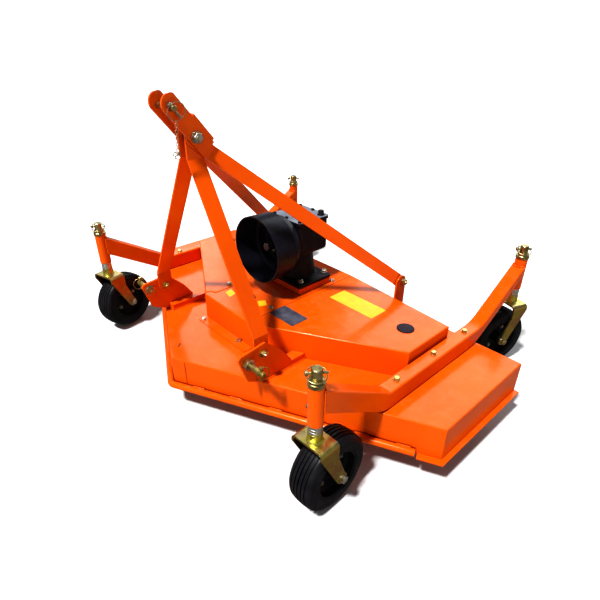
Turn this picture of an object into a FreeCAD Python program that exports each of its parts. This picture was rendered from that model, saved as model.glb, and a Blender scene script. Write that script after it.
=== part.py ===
"""Three-point-hitch finishing mower with three blades, standing on its four caster wheels.

Millimetres, +Z up, +X to the machine's right seen from behind, -Y towards the tractor. The origin is on
the ground, midway between the two sides and midway between the machine's front and back ends.
"""
import FreeCAD, Part
import math
import os

V = FreeCAD.Vector
UP = V(0, 0, 1)
RIGHT = V(1, 0, 0)
BACK = V(0, 1, 0)
SIDES = {"left": -1, "right": 1}

# ---- Driving dimensions ----
# The drawing has Y = 0 at the gearbox's upright shaft. The finished pieces are moved forward by this
# much, which brings the origin to the middle of the machine.
MIDDLE_Y = 9.89
RUNNING_GAP = 0.05
BODY_GAP = 0.4

# Casters: wheel, fork, stem and the ring stack that sets the cutting height
WHEEL_R = 133
WHEEL_WIDTH = 94
TYRE_BORE_R = 84
TYRE_SHOULDER = 20
TYRE_CROWN = 2
TREAD_GROOVES = 5
GROOVE_WIDTH = 4
GROOVE_DEPTH = 4
TYRE_BEAD = 4
RIM_SET_IN = 4
RIM_STEEL = 6
RIM_FLARE = 12
RIM_DISC_STEP = 14
RIM_DISC_HALF = 9
HUB_R = 21
HUB_FILLET = 6
HUB_PROUD = 4
HUB_SIDE_GAP = 3
AXLE_R = 8
AXLE_HEAD = 24
AXLE_HEAD_THICK = 10
AXLE_NUT_THICK = 12
AXLE_THREAD_END = 2
TRAIL = 60
FORK_SHEET = 8
FORK_BEND_R = 17
FORK_TYRE_GAP = 23
FORK_LEAD = 34
FORK_LEAD_DROP = 26
FORK_BACK = 38
FORK_BACK_DROP = 60
FORK_LEG_R = 12
FORK_WAIST_DROP = 8
AXLE_BOSS_R = 20
STEM_R = 16
STEM_CHAMFER = 2
COLLAR_R = 23
COLLAR_FLARE = 3
COLLAR_FLARE_HEIGHT = 5
LOOSE_WASHERS = 3
WASHER_EDGE = 1
RING_STACK = 62
KEEPER_R = 26
KEEPER_HEIGHT = 14
KEEPER_CHAMFER = 2
KEEPER_NECK = 10
KEEPER_NECK_IN = 5
STEM_OVER_POST = 55
CASTER_HEADINGS = {"front_left": 195, "front_right": 182, "rear_left": 12, "rear_right": -20}

# Blades and spindles
BLADE_R = 292
BLADE_WIDTH = 64
BLADE_THICK = 8
BLADE_RISE = 19
BLADE_WING_RISE = 19
BLADE_WING_LENGTH = 93
BLADE_WING_WIDTH = 24
BLADE_WING_SKEW = 4
BLADE_EDGE_LENGTH = 128
BLADE_EDGE_WIDTH = 18
BLADE_EDGE_THICK = 2
BLADE_TIP_ROUND = 14
TIP_GAP = 14.7
SPINDLE_STAGGER = 180
OUTER_SPINDLE_Y = -13
SPINDLE_SHAFT_R = 15
SPINDLE_FLANGE_R = 78
SPINDLE_FLANGE = 10
SPINDLE_ROOT_R = 56
SPINDLE_END_R = 40
SPINDLE_DROP = 56
SPINDLE_WEBS = 4
SPINDLE_WEB = 8
SPINDLE_ROOF = 12
SHAFT_END_GAP = 8
BLADE_BOLT_R = 10
BLADE_BOLT_HEAD = 30
BLADE_BOLT_HEAD_THICK = 12
BLADE_WASHER_R = 30
BLADE_WASHER = 4
BLADE_SEAT_R = 38
BLADE_SEAT = 6
BLADE_SEAT_FLARE = 6
SLINGER_R = 23
SLINGER_GAP = 2
BLADE_HEADINGS = {"left": 24, "centre": -12, "right": 62}

# Cutting deck: its walls stand round the blade circles
SHEET = 5
END_WALL_GAP = 21
SIDE_WALL_GAP = 47
NOSE_ANGLE = math.radians(26.1)
NOSE_BEND_R = 16
NOSE_LAP = 58
DECK_DEPTH = 132
SIDE_LIP = 19
REAR_SKIRT_DEPTH = 59
SKID_BAR_D = 26
SKID_BAR_STOP = 70

# Side rails and caster posts
RAIL_INSET = 209
RAIL_WIDTH = 54
RAIL_HEIGHT = 70
RAIL_CORNER_R = 6
RAIL_FRONT_FOOT = 32
RAIL_REAR_LEAD = 18
RAIL_FRONT_BEND_R = 45
RAIL_REAR_BEND_R = 160
REAR_ARM_HEIGHT = 44
ARM_SET_BACK = 12
ARM_RISE = 221
POST_R = 24
POST_BELOW_ARM = 91
POST_ABOVE_ARM = 46
FRONT_SWING_GAP = 19
REAR_SWING_GAP = 110

# Belt cover
COVER_HEIGHT = 110.5
COVER_SHEET = 3
COVER_BEND_R = 5
COVER_SEAM_X = 138
COVER_EAR_X = 169
COVER_EAR_CUT = 9
COVER_EAR_LENGTH = 31
COVER_EAR_TAPER = 7
COVER_EAR_SHOULDER = 8
COVER_NOSE_GAP = 267
COVER_CORNER_GAP = 113
COVER_END_REAR_GAP = 140
COVER_REAR_GAP = 95
COVER_RAIL_GAP = 6
COVER_FOOT = 42
CAP_R = 33
CAP_LEDGE = 3
CAP_EDGE = 2
CAP_HEIGHT = 4
CAP_DEPTH = 8
CAP_Y = 30

# Three-point hitch
BRACKET_OUT_X = 345
BRACKET_PLATE = 10
BRACKET_FOOT = 42
BRACKET_FOOT_RISE = 25
BRACKET_FOOT_LEAD = 9
BRACKET_FOOT_TAIL = 82
BRACKET_SETBACK = 8
BRACKET_LENGTH = 127
BRACKET_CORNER_R = 14
BRACKET_NECK_DROP = 81
BRACKET_EAR_LEAD = 37
BRACKET_EAR_RISE = 31
BRACKET_TOP_LEAD = 11
BRACKET_TOP_RISE = 42
BRACKET_SLOPE_START = 28
BRACKET_SLOPE_END = 88
BRACKET_SLOPE_TOP = 27
BRACKET_SLOPE_DROP = 31
BRACKET_TAIL_DROP = 85
PIN_AHEAD = 69
PIN_RISE = 114
HITCH_PIN_R = 11
HITCH_PIN_REACH = 93
HITCH_PIN_CHAMFER = 2.5
HITCH_COLLAR = 18
HITCH_COLLAR_FLATS = 36
HITCH_NUT = 18
HITCH_NUT_FLATS = 32
HITCH_THREAD_END = 8
LINCH_HOLE_R = 4.5
LINCH_HOLE_IN = 14
LEG_BOLT_BEHIND = 70
LEG_BOLT_RISE = 118
FLAT_PLATE = 8
LEG_WIDTH = 60
LEG_LOW_FLAT = 65
LEG_TOP_FLAT = 68
APEX_HEIGHT = 785
APEX_BEHIND = 5
APEX_HALF_GAP = 17.5
BRACE_WIDTH = 50
BRACE_DROP = 7
BRACE_TOP_FLAT = 78
BRACE_LOW_FLAT = 46
LUG_X = 385
LUG_GAP = 55
LUG_RISE = 50.5
LUG_WIDTH = 60
LUG_LEAD = 12
LUG_FOOT = 46
APEX_BOLT_HEAD = 30
APEX_BOLT_HEAD_THICK = 14
APEX_THREAD_END = 2
SPACER_R = 16
TOP_PIN_R = 9.5
TOP_PIN_HEAD_R = 16
TOP_PIN_HEAD = 8
TOP_PIN_FREE_END = 24
TOP_PIN_CHAMFER = 2
CLEVIS_ANGLE = 51
CLEVIS_REACH = 121
CLEVIS_FRONT = 23
CLEVIS_WEB_GAP = 5.5
CLEVIS_TAIL = 58
CLEVIS_CORNER = 4
CLEVIS_TIP_R = 32
CLEVIS_TIP_LEAD = 4
CLEVIS_WEB = 8
CLEVIS_WEB_LOW = 49
CLEVIS_WEB_HIGH = 54
EAR_GAP = 0.3

# Gearbox and power take-off
GEARBOX_LIFT = 39.5
BASE_HALF_X = 120
BASE_HALF_Y = 94
BASE_THICK = 12
BASE_CORNER_R = 12
PEDESTAL_SET_IN = 2
PEDESTAL_CORNER_R = 8
NECK_FOOT_R = 80
NECK_TOP_R = 67
NECK_BEAD = 8
NECK_COLLAR = 6
BODY_RISE = 111
BODY_HEIGHT = 138
BODY_HALF_X = 88
BODY_FRONT = 66
BODY_BACK = 100
BODY_CORNER_R = 20
BODY_FOOT_R = 18
INPUT_RISE = 165
BOSS_R = 58
BOSS_FRONT = 96
BOSS_STEP = 22
BOSS_STEP_R = 68
END_CAP_R = 54
END_CAP = 11
END_CAP_BEVEL = 4
END_CAP_BEVEL_R = 48
LID_THICK = 12
LID_EDGE = 3
LID_CORNER_R = 16
BREATHER_X = 66
BREATHER_Y = 74
BREATHER_BOSS_R = 15
BREATHER_BOSS_TOP_R = 13
BREATHER_BOSS = 8
BREATHER_HEX = 22
BREATHER_RISE = 12
JOURNAL_R = 22
JOURNAL_PROUD = 9
JOURNAL_DEPTH = 45
JOURNAL_END_GAP = 5
PTO_R = 17.45
PTO_TIP_Y = -171
SPLINES = 6
SPLINE_LENGTH = 62
SPLINE_ROOT_R = 14.5
LOCK_GROOVE_IN = 36
LOCK_GROOVE = 8
LOCK_GROOVE_R = 14.7
PTO_CHAMFER = 2
SHIELD_R = 137
SHIELD_FRONT_Y = -221
SHIELD_BACK_Y = -78
SHIELD_WALL = 5
SHIELD_STEP = 16
SHIELD_BELL = 100
SHIELD_TAPER = 4
SHIELD_NECK_TAPER = 8
SHIELD_SHOULDER = 5
SHIELD_BACK_BEVEL = 6

# ---- Places worked out from the driving dimensions ----
HUB_HALF = WHEEL_WIDTH / 2 + HUB_PROUD
FORK_INSIDE = HUB_HALF + HUB_SIDE_GAP
FORK_OUTSIDE = FORK_INSIDE + FORK_SHEET
FORK_TOP_Z = 2 * WHEEL_R + FORK_TYRE_GAP + FORK_SHEET
CASTER_SWING = math.hypot(TRAIL + WHEEL_R, WHEEL_WIDTH / 2)
POST_BOTTOM_Z = FORK_TOP_Z + RING_STACK
ARM_POST_Z = POST_BOTTOM_Z + POST_BELOW_ARM
POST_TOP_Z = ARM_POST_Z + POST_ABOVE_ARM
STEM_TOP_Z = POST_TOP_Z + STEM_OVER_POST

DECK_TOP_Z = ARM_POST_Z - ARM_RISE
LIP_Z = DECK_TOP_Z - DECK_DEPTH
BLADE_Z = LIP_Z + BLADE_RISE
SPINDLE_X = math.sqrt((2 * BLADE_R + TIP_GAP) ** 2 - SPINDLE_STAGGER ** 2)
SPINDLES = {"left": (-SPINDLE_X, OUTER_SPINDLE_Y),
            "centre": (0, OUTER_SPINDLE_Y - SPINDLE_STAGGER),
            "right": (SPINDLE_X, OUTER_SPINDLE_Y)}

DECK_HALF_WIDTH = SPINDLE_X + BLADE_R + SIDE_WALL_GAP + SHEET
DECK_REAR_Y = OUTER_SPINDLE_Y + BLADE_R + END_WALL_GAP + SHEET
FRONT_RUN = V(math.cos(NOSE_ANGLE), math.sin(NOSE_ANGLE), 0)
FRONT_OUT = V(math.sin(NOSE_ANGLE), -math.cos(NOSE_ANGLE), 0)
WALL_REACH = BLADE_R + END_WALL_GAP + SHEET
DECK_NOSE_Y = OUTER_SPINDLE_Y - WALL_REACH / FRONT_RUN.x - SPINDLE_X * math.tan(NOSE_ANGLE)
DECK_CORNER_Y = DECK_NOSE_Y + DECK_HALF_WIDTH * math.tan(NOSE_ANGLE)


def front_edge_y(x):
    """Where the deck's front edge lies at this distance from the middle."""
    return DECK_NOSE_Y + x * math.tan(NOSE_ANGLE)


RAIL_X = DECK_HALF_WIDTH - RAIL_INSET
POST_FRONT_Y = front_edge_y(RAIL_X) - (SKID_BAR_D + FRONT_SWING_GAP + CASTER_SWING) / FRONT_RUN.x
POST_REAR_Y = DECK_REAR_Y + REAR_SWING_GAP + CASTER_SWING
POSTS = {"front_left": (-RAIL_X, POST_FRONT_Y), "front_right": (RAIL_X, POST_FRONT_Y),
         "rear_left": (-RAIL_X, POST_REAR_Y), "rear_right": (RAIL_X, POST_REAR_Y)}

COVER_TOP_Z = DECK_TOP_Z + COVER_HEIGHT
COVER_FRONT_Y = DECK_NOSE_Y + COVER_NOSE_GAP
COVER_END_X = RAIL_X - RAIL_WIDTH / 2 - COVER_RAIL_GAP
COVER_REAR_Y = DECK_REAR_Y - COVER_REAR_GAP

HITCH_PIN = (front_edge_y(BRACKET_OUT_X) + BRACKET_SETBACK - PIN_AHEAD, DECK_TOP_Z + PIN_RISE)
LEG_BOLT = (HITCH_PIN[0] + LEG_BOLT_BEHIND, DECK_TOP_Z + LEG_BOLT_RISE)
APEX = (LEG_BOLT[0] + APEX_BEHIND, DECK_TOP_Z + APEX_HEIGHT)
LUG = (DECK_REAR_Y - LUG_GAP, COVER_TOP_Z + LUG_RISE)
LEG_APEX_X = APEX_HALF_GAP + FLAT_PLATE / 2
EAR_INSIDE = APEX_HALF_GAP + 2 * FLAT_PLATE + EAR_GAP
EAR_OUTSIDE = EAR_INSIDE + FLAT_PLATE

GEARBOX_BASE_Z = COVER_TOP_Z + GEARBOX_LIFT
INPUT_Z = GEARBOX_BASE_Z + INPUT_RISE


# ---- Ways of drawing used all over the machine ----

def bent_edges(corners, closed):
    """Lines through corners given as (point, bend radius), with an arc at each corner."""
    edges = []
    count = len(corners)
    start = None
    for k, (point, radius) in enumerate(corners):
        leave = point
        if radius > 0 and (closed or 0 < k < count - 1):
            come = (point - corners[k - 1][0]).normalize()
            go = (corners[(k + 1) % count][0] - point).normalize()
            turn = come.getAngle(go)
            tangent = radius * math.tan(turn / 2)
            arrive, leave = point - come * tangent, point + go * tangent
            inward = (go - come).normalize() * (radius / math.cos(turn / 2) - radius)
            bend = Part.Arc(arrive, point + inward, leave).toShape()
        else:
            arrive, bend = point, None
        if start is None:
            first = arrive
        else:
            edges.append(Part.LineSegment(start, arrive).toShape())
        if bend:
            edges.append(bend)
        start = leave
    if closed:
        edges.append(Part.LineSegment(start, first).toShape())
    return edges


def outline(corners):
    """Closed flat outline from (point, bend radius) corners."""
    return Part.Wire(bent_edges(corners, True))


def plate_xy(corners, bottom_z, top_z):
    """Level plate from its outline in plan; a corner is (x, y) or (x, y, bend radius)."""
    wire = outline([(V(c[0], c[1], bottom_z), c[2] if len(c) > 2 else 0) for c in corners])
    return Part.Face(wire).extrude(UP * (top_z - bottom_z))


def plate_yz(corners, x0, x1):
    """Upright plate facing sideways; a corner is (y, z) or (y, z, bend radius)."""
    wire = outline([(V(x0, c[0], c[1]), c[2] if len(c) > 2 else 0) for c in corners])
    return Part.Face(wire).extrude(RIGHT * (x1 - x0))


def turned(profile, centre, axis):
    """Solid of revolution; the profile is (distance along axis, radius) corners."""
    side = UP if abs(axis.z) < 0.5 else RIGHT
    points = [V(*centre) + axis * along + side * radius for along, radius in profile]
    return Part.Face(Part.makePolygon(points + [points[0]])).revolve(V(*centre), axis, 360)


def box(x0, x1, y0, y1, z0, z1):
    return Part.makeBox(x1 - x0, y1 - y0, z1 - z0, V(x0, y0, z0))


def rod(radius, start, end):
    """Round bar from one centre to the other."""
    a, b = V(*start), V(*end)
    return Part.makeCylinder(radius, (b - a).Length, a, b - a)


def ring(outer_r, inner_r, start, end):
    return rod(outer_r, start, end).cut(rod(inner_r, start, end))


def hexagon(across_flats, start, end):
    """Hexagon bar between two centres: a bolt head or a nut."""
    a, b = V(*start), V(*end)
    axis = (b - a).normalize()
    side = axis.cross(UP if abs(axis.z) < 0.9 else RIGHT).normalize()
    other = axis.cross(side)
    radius = across_flats / math.sqrt(3)
    corners = [a + side * radius * math.cos(k * math.pi / 3) + other * radius * math.sin(k * math.pi / 3)
               for k in range(6)]
    return Part.Face(Part.makePolygon(corners + [corners[0]])).extrude(V(*end) - a)


def upright_edges(shape, radius):
    """The shape with its upright edges rounded."""
    edges = [e for e in shape.Edges if len(e.Vertexes) == 2
             and abs(e.Vertexes[0].X - e.Vertexes[1].X) + abs(e.Vertexes[0].Y - e.Vertexes[1].Y) < 0.01]
    return shape.makeFillet(radius, edges)


def edges_at_height(shape, z):
    """Edges that lie level at this height."""
    return [e for e in shape.Edges if abs(e.BoundBox.ZMin - z) < 0.01 and abs(e.BoundBox.ZMax - z) < 0.01]


def mirrored(shape, side):
    """The piece for one side, from the one drawn on the right."""
    return shape if side > 0 else shape.mirror(V(0, 0, 0), RIGHT)


# ---- Cutting deck: folded sheet with a pointed front ----

def deck_plan(inset, bottom_z, top_z):
    """Block with the deck's outline in plan, drawn in by some amount from its edge."""
    half = DECK_HALF_WIDTH
    corners = [(V(0, DECK_NOSE_Y, bottom_z), NOSE_BEND_R), (V(half, DECK_CORNER_Y, bottom_z), 0),
               (V(half, DECK_REAR_Y, bottom_z), 0), (V(-half, DECK_REAR_Y, bottom_z), 0),
               (V(-half, DECK_CORNER_Y, bottom_z), 0)]
    wire = outline(corners)
    if inset:
        wire = wire.makeOffset2D(-inset)
    return Part.Face(wire).extrude(UP * (top_z - bottom_z))


def deck_plate():
    """Top sheet; its rim is rolled over into the walls."""
    plate = deck_plan(0, DECK_TOP_Z - SHEET, DECK_TOP_Z)
    rolled_r = 0.8 * SHEET
    return plate.makeFillet(rolled_r, edges_at_height(plate, DECK_TOP_Z))


def deck_walls():
    """All the wall sheet under the rim of the top sheet, before it is cut into skirts."""
    top_z = DECK_TOP_Z - SHEET
    return deck_plan(0, LIP_Z, top_z).cut(deck_plan(SHEET, LIP_Z, top_z))


def front_skirts():
    """Left and right front walls. The left one is bent round the nose and laps onto the right."""
    far = DECK_HALF_WIDTH + SIDE_LIP
    front = deck_walls().common(box(-far, far, DECK_NOSE_Y - SHEET, DECK_CORNER_Y, LIP_Z, DECK_TOP_Z))
    lap = V(0, DECK_NOSE_Y, 0) + FRONT_RUN * NOSE_LAP
    outer, inner = lap + FRONT_OUT * SKID_BAR_D, lap - FRONT_OUT * SKID_BAR_D
    left_region = plate_xy([(outer.x, outer.y), (inner.x, inner.y), (0, DECK_CORNER_Y),
                            (-far, DECK_CORNER_Y), (-far, DECK_NOSE_Y), (0, DECK_NOSE_Y - SKID_BAR_D)],
                           LIP_Z, DECK_TOP_Z)
    lip = corner_lip()
    left = front.common(left_region).fuse(mirrored(lip, -1)).removeSplitter()
    right = front.cut(left_region).fuse(lip).removeSplitter()
    return left, right


def corner_lip():
    """Short foot lip from the end of the skid bar round to the side wall, on the right."""
    x0 = DECK_HALF_WIDTH - SKID_BAR_STOP
    start = V(x0, front_edge_y(x0), 0)
    out = start + FRONT_OUT * SKID_BAR_D
    lip_x = DECK_HALF_WIDTH + SIDE_LIP
    lip_y = out.y + (lip_x - out.x) * math.tan(NOSE_ANGLE)
    return plate_xy([(start.x, start.y), (DECK_HALF_WIDTH, DECK_CORNER_Y), (lip_x, DECK_CORNER_Y),
                     (lip_x, lip_y), (out.x, out.y)], LIP_Z, LIP_Z + SHEET)


def side_skirt():
    """Right side wall with the outward lip along its foot."""
    inside = DECK_HALF_WIDTH - SHEET
    wall = deck_walls().common(box(inside, DECK_HALF_WIDTH, DECK_CORNER_Y, DECK_REAR_Y, LIP_Z, DECK_TOP_Z))
    lip = box(inside, DECK_HALF_WIDTH + SIDE_LIP, DECK_CORNER_Y, DECK_REAR_Y, LIP_Z, LIP_Z + SHEET)
    return wall.fuse(lip).removeSplitter()


def rear_skirt():
    half = DECK_HALF_WIDTH - SHEET
    return box(-half, half, DECK_REAR_Y - SHEET, DECK_REAR_Y, DECK_TOP_Z - REAR_SKIRT_DEPTH,
               DECK_TOP_Z - SHEET)


def skid_bar():
    """Round bar bent round the nose, along the foot of both front skirts."""
    radius = SKID_BAR_D / 2
    nose = V(0, DECK_NOSE_Y - radius / FRONT_RUN.x, LIP_Z + radius)
    end = nose + FRONT_RUN * ((DECK_HALF_WIDTH - SKID_BAR_STOP) / FRONT_RUN.x)
    other_end = V(-end.x, end.y, end.z)
    path = Part.Wire(bent_edges([(other_end, 0), (nose, NOSE_BEND_R + radius), (end, 0)], False))
    section = Part.Wire(Part.makeCircle(radius, other_end, V(FRONT_RUN.x, -FRONT_RUN.y, 0)))
    return path.makePipeShell([section], True, False)


# ---- Belt cover: three folded lids on the deck, with round access caps ----

def cover_shell(corners):
    """Open-bottomed lid with upright walls and a folded top edge, from its outline in plan."""
    outer = plate_xy(corners, DECK_TOP_Z, COVER_TOP_Z)
    outer = outer.makeFillet(COVER_BEND_R, edges_at_height(outer, COVER_TOP_Z))
    wire = outline([(V(x, y, DECK_TOP_Z), 0) for x, y in corners]).makeOffset2D(-COVER_SHEET)
    inner = Part.Face(wire).extrude(UP * (COVER_TOP_Z - COVER_SHEET - DECK_TOP_Z))
    return outer.cut(inner)


def seam_corners(gap):
    """The joggled seam between the lids, from the front back, on the right."""
    ear_end_y = COVER_FRONT_Y + COVER_EAR_LENGTH
    return [(COVER_EAR_X - gap, COVER_FRONT_Y + COVER_EAR_CUT),
            (COVER_EAR_X - COVER_EAR_TAPER - gap, ear_end_y),
            (COVER_SEAM_X - gap, ear_end_y + COVER_EAR_SHOULDER), (COVER_SEAM_X - gap, COVER_REAR_Y)]


def belt_cover_centre():
    half = COVER_EAR_X - COVER_EAR_CUT
    right_edge = [(half, COVER_FRONT_Y)] + seam_corners(BODY_GAP)
    lid = cover_shell(right_edge + [(-x, y) for x, y in reversed(right_edge)])
    foot = box(-half, half, COVER_FRONT_Y - COVER_FOOT, COVER_FRONT_Y + COVER_SHEET, DECK_TOP_Z,
               DECK_TOP_Z + COVER_SHEET)
    pedestal_hole = box(-BASE_HALF_X, BASE_HALF_X, -BASE_HALF_Y, BASE_HALF_Y, DECK_TOP_Z, COVER_TOP_Z + 1)
    return lid.fuse(foot).cut(pedestal_hole)


def side_lid_corners():
    return seam_corners(0)[:3] + [(COVER_SEAM_X, COVER_REAR_Y),
                                  (COVER_END_X, DECK_REAR_Y - COVER_END_REAR_GAP),
                                  (COVER_END_X, DECK_CORNER_Y + COVER_CORNER_GAP)]


def belt_cover_side():
    """Right-hand lid, from the seam to the side rail."""
    hole = rod(CAP_R - CAP_LEDGE, (SPINDLE_X, CAP_Y, DECK_TOP_Z), (SPINDLE_X, CAP_Y, COVER_TOP_Z + 1))
    return cover_shell(side_lid_corners()).cut(hole)


def access_caps():
    """Plastic plugs pressed into the holes by the outer spindles."""
    plug_r = CAP_R - CAP_LEDGE
    profile = [(-CAP_DEPTH, 0), (-CAP_DEPTH, plug_r), (0, plug_r), (0, CAP_R), (CAP_EDGE, CAP_R),
               (CAP_HEIGHT, plug_r), (CAP_HEIGHT, 0)]
    return Part.makeCompound([turned(profile, (side * SPINDLE_X, CAP_Y, COVER_TOP_Z), UP)
                              for side in SIDES.values()])


# ---- Side rails: bent box section that carries the caster posts ----

def arm_edge(post_y, bend_y, fall, height):
    """Middle height where an arm ends, its slope, and half its depth measured upright."""
    slope = math.atan2(fall, abs(bend_y - post_y))
    return ARM_POST_Z - ARM_SET_BACK * math.tan(slope), slope, height / 2 / math.cos(slope)


def side_rail():
    """Right rail: level on the deck, then rising to the post at each end; the rear arm is shallower."""
    level_z = DECK_TOP_Z + RAIL_HEIGHT
    half = RAIL_WIDTH / 2
    front_bend = front_edge_y(RAIL_X) + RAIL_FRONT_FOOT
    rear_bend = DECK_REAR_Y + RAIL_REAR_LEAD
    front_z, front_slope, front_half = arm_edge(POST_FRONT_Y, front_bend,
                                                ARM_POST_Z - level_z + RAIL_HEIGHT / 2, RAIL_HEIGHT)
    rear_z, rear_slope, rear_half = arm_edge(POST_REAR_Y, rear_bend,
                                             ARM_POST_Z - level_z + REAR_ARM_HEIGHT / 2, REAR_ARM_HEIGHT)
    front_shift = RAIL_HEIGHT / 2 * math.tan(front_slope / 2)
    rear_shift = REAR_ARM_HEIGHT / 2 * math.tan(rear_slope / 2)
    rear_foot = rear_bend + (2 * rear_half - RAIL_HEIGHT) / math.tan(rear_slope) - rear_shift
    front_end = POST_FRONT_Y + ARM_SET_BACK
    rear_end = POST_REAR_Y - ARM_SET_BACK
    side_view = [(front_end, front_z - front_half), (front_end, front_z + front_half),
                 (front_bend + front_shift, level_z, RAIL_FRONT_BEND_R),
                 (rear_bend - rear_shift, level_z, RAIL_REAR_BEND_R),
                 (rear_end, rear_z + rear_half), (rear_end, rear_z - rear_half),
                 (rear_foot, DECK_TOP_Z, RAIL_REAR_BEND_R + REAR_ARM_HEIGHT),
                 (front_bend - front_shift, DECK_TOP_Z, RAIL_FRONT_BEND_R + RAIL_HEIGHT)]
    rail = plate_yz(side_view, RAIL_X - half, RAIL_X + half)
    long_edges = [e for e in rail.Edges if e.BoundBox.XLength < 0.01 and e.BoundBox.YLength > 1]
    rail = rail.makeFillet(RAIL_CORNER_R, long_edges)
    for y in (POST_FRONT_Y, POST_REAR_Y):
        rail = rail.cut(rod(POST_R, (RAIL_X, y, LIP_Z), (RAIL_X, y, STEM_TOP_Z)))
    return max(rail.Solids, key=lambda s: s.Volume)


def caster_posts():
    """Four upright tubes, bored for the caster stems."""
    return Part.makeCompound([ring(POST_R, STEM_R + RUNNING_GAP, (x, y, POST_BOTTOM_Z), (x, y, POST_TOP_Z))
                              for x, y in POSTS.values()])


# ---- Casters, drawn under a post at X = Y = 0 and trailing towards -Y ----

def placed(shape, corner):
    """Turn a caster piece to its parked heading and set it under its post."""
    x, y = POSTS[corner]
    parked = shape.copy()
    parked.rotate(V(0, 0, 0), UP, CASTER_HEADINGS[corner])
    parked.translate(V(x, y, 0))
    return parked


def caster_fork():
    """Plate bent into a U over the wheel, welded under a round stem; the legs sweep to the axle."""
    low_z = WHEEL_R - AXLE_BOSS_R
    reach = TRAIL + AXLE_BOSS_R
    blank = box(-FORK_OUTSIDE, FORK_OUTSIDE, -reach, FORK_LEAD, low_z, FORK_TOP_Z)
    blank = blank.makeFillet(FORK_BEND_R, [e for e in edges_at_height(blank, FORK_TOP_Z)
                                           if e.BoundBox.XLength < 1])
    inside_z = FORK_TOP_Z - FORK_SHEET
    inside = box(-FORK_INSIDE, FORK_INSIDE, -reach, FORK_LEAD, low_z, inside_z)
    inside = inside.makeFillet(FORK_BEND_R - FORK_SHEET, [e for e in edges_at_height(inside, inside_z)
                                                          if e.BoundBox.XLength < 1])
    waist_z = WHEEL_R - FORK_WAIST_DROP
    side_view = [(-FORK_BACK, FORK_TOP_Z), (FORK_LEAD, FORK_TOP_Z),
                 (FORK_LEAD, FORK_TOP_Z - FORK_LEAD_DROP, FORK_LEG_R), (AXLE_BOSS_R - TRAIL, waist_z),
                 (-AXLE_BOSS_R - TRAIL, waist_z), (-FORK_BACK, FORK_TOP_Z - FORK_BACK_DROP, FORK_LEG_R)]
    legs = plate_yz(side_view, -FORK_OUTSIDE, FORK_OUTSIDE)
    legs = legs.fuse(rod(AXLE_BOSS_R, (-FORK_OUTSIDE, -TRAIL, WHEEL_R), (FORK_OUTSIDE, -TRAIL, WHEEL_R)))
    fork = blank.cut(inside).common(legs)
    stem = rod(STEM_R, (0, 0, FORK_TOP_Z - 1), (0, 0, STEM_TOP_Z))
    stem = stem.makeChamfer(STEM_CHAMFER, edges_at_height(stem, STEM_TOP_Z))
    at = lambda x: (x, -TRAIL, WHEEL_R)
    head_x = -FORK_OUTSIDE - AXLE_HEAD_THICK
    nut_x = FORK_OUTSIDE + AXLE_NUT_THICK
    axle = rod(AXLE_R, at(head_x), at(nut_x + AXLE_THREAD_END))
    head = hexagon(AXLE_HEAD, at(head_x), at(-FORK_OUTSIDE))
    nut = hexagon(AXLE_HEAD, at(FORK_OUTSIDE), at(nut_x))
    return fork.fuse([stem, axle, head, nut]).removeSplitter()


def caster_rings():
    """Rings on the stem: collar and loose washers under the post, retaining rings over it."""
    bore = STEM_R
    stack = RING_STACK - BODY_GAP
    collar = stack / 2
    washer = (stack - collar) / LOOSE_WASHERS
    rim_r = COLLAR_R - WASHER_EDGE
    groove_r = rim_r - 2 * WASHER_EDGE
    low = [(0, bore), (0, COLLAR_R + COLLAR_FLARE), (COLLAR_FLARE_HEIGHT, COLLAR_R), (collar, COLLAR_R)]
    for k in range(LOOSE_WASHERS):
        foot, top = collar + k * washer, collar + (k + 1) * washer
        low += [(foot, groove_r), (foot + WASHER_EDGE, rim_r), (top - WASHER_EDGE, rim_r), (top, groove_r)]
    low.append((stack, bore))
    neck_r = KEEPER_R - KEEPER_NECK_IN
    high = [(BODY_GAP, bore), (BODY_GAP, KEEPER_R), (KEEPER_HEIGHT - KEEPER_CHAMFER, KEEPER_R),
            (KEEPER_HEIGHT, KEEPER_R - KEEPER_CHAMFER), (KEEPER_HEIGHT, neck_r),
            (KEEPER_HEIGHT + KEEPER_NECK, neck_r), (KEEPER_HEIGHT + KEEPER_NECK, bore)]
    return Part.makeCompound([turned(low, (0, 0, FORK_TOP_Z), UP), turned(high, (0, 0, POST_TOP_Z), UP)])


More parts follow.
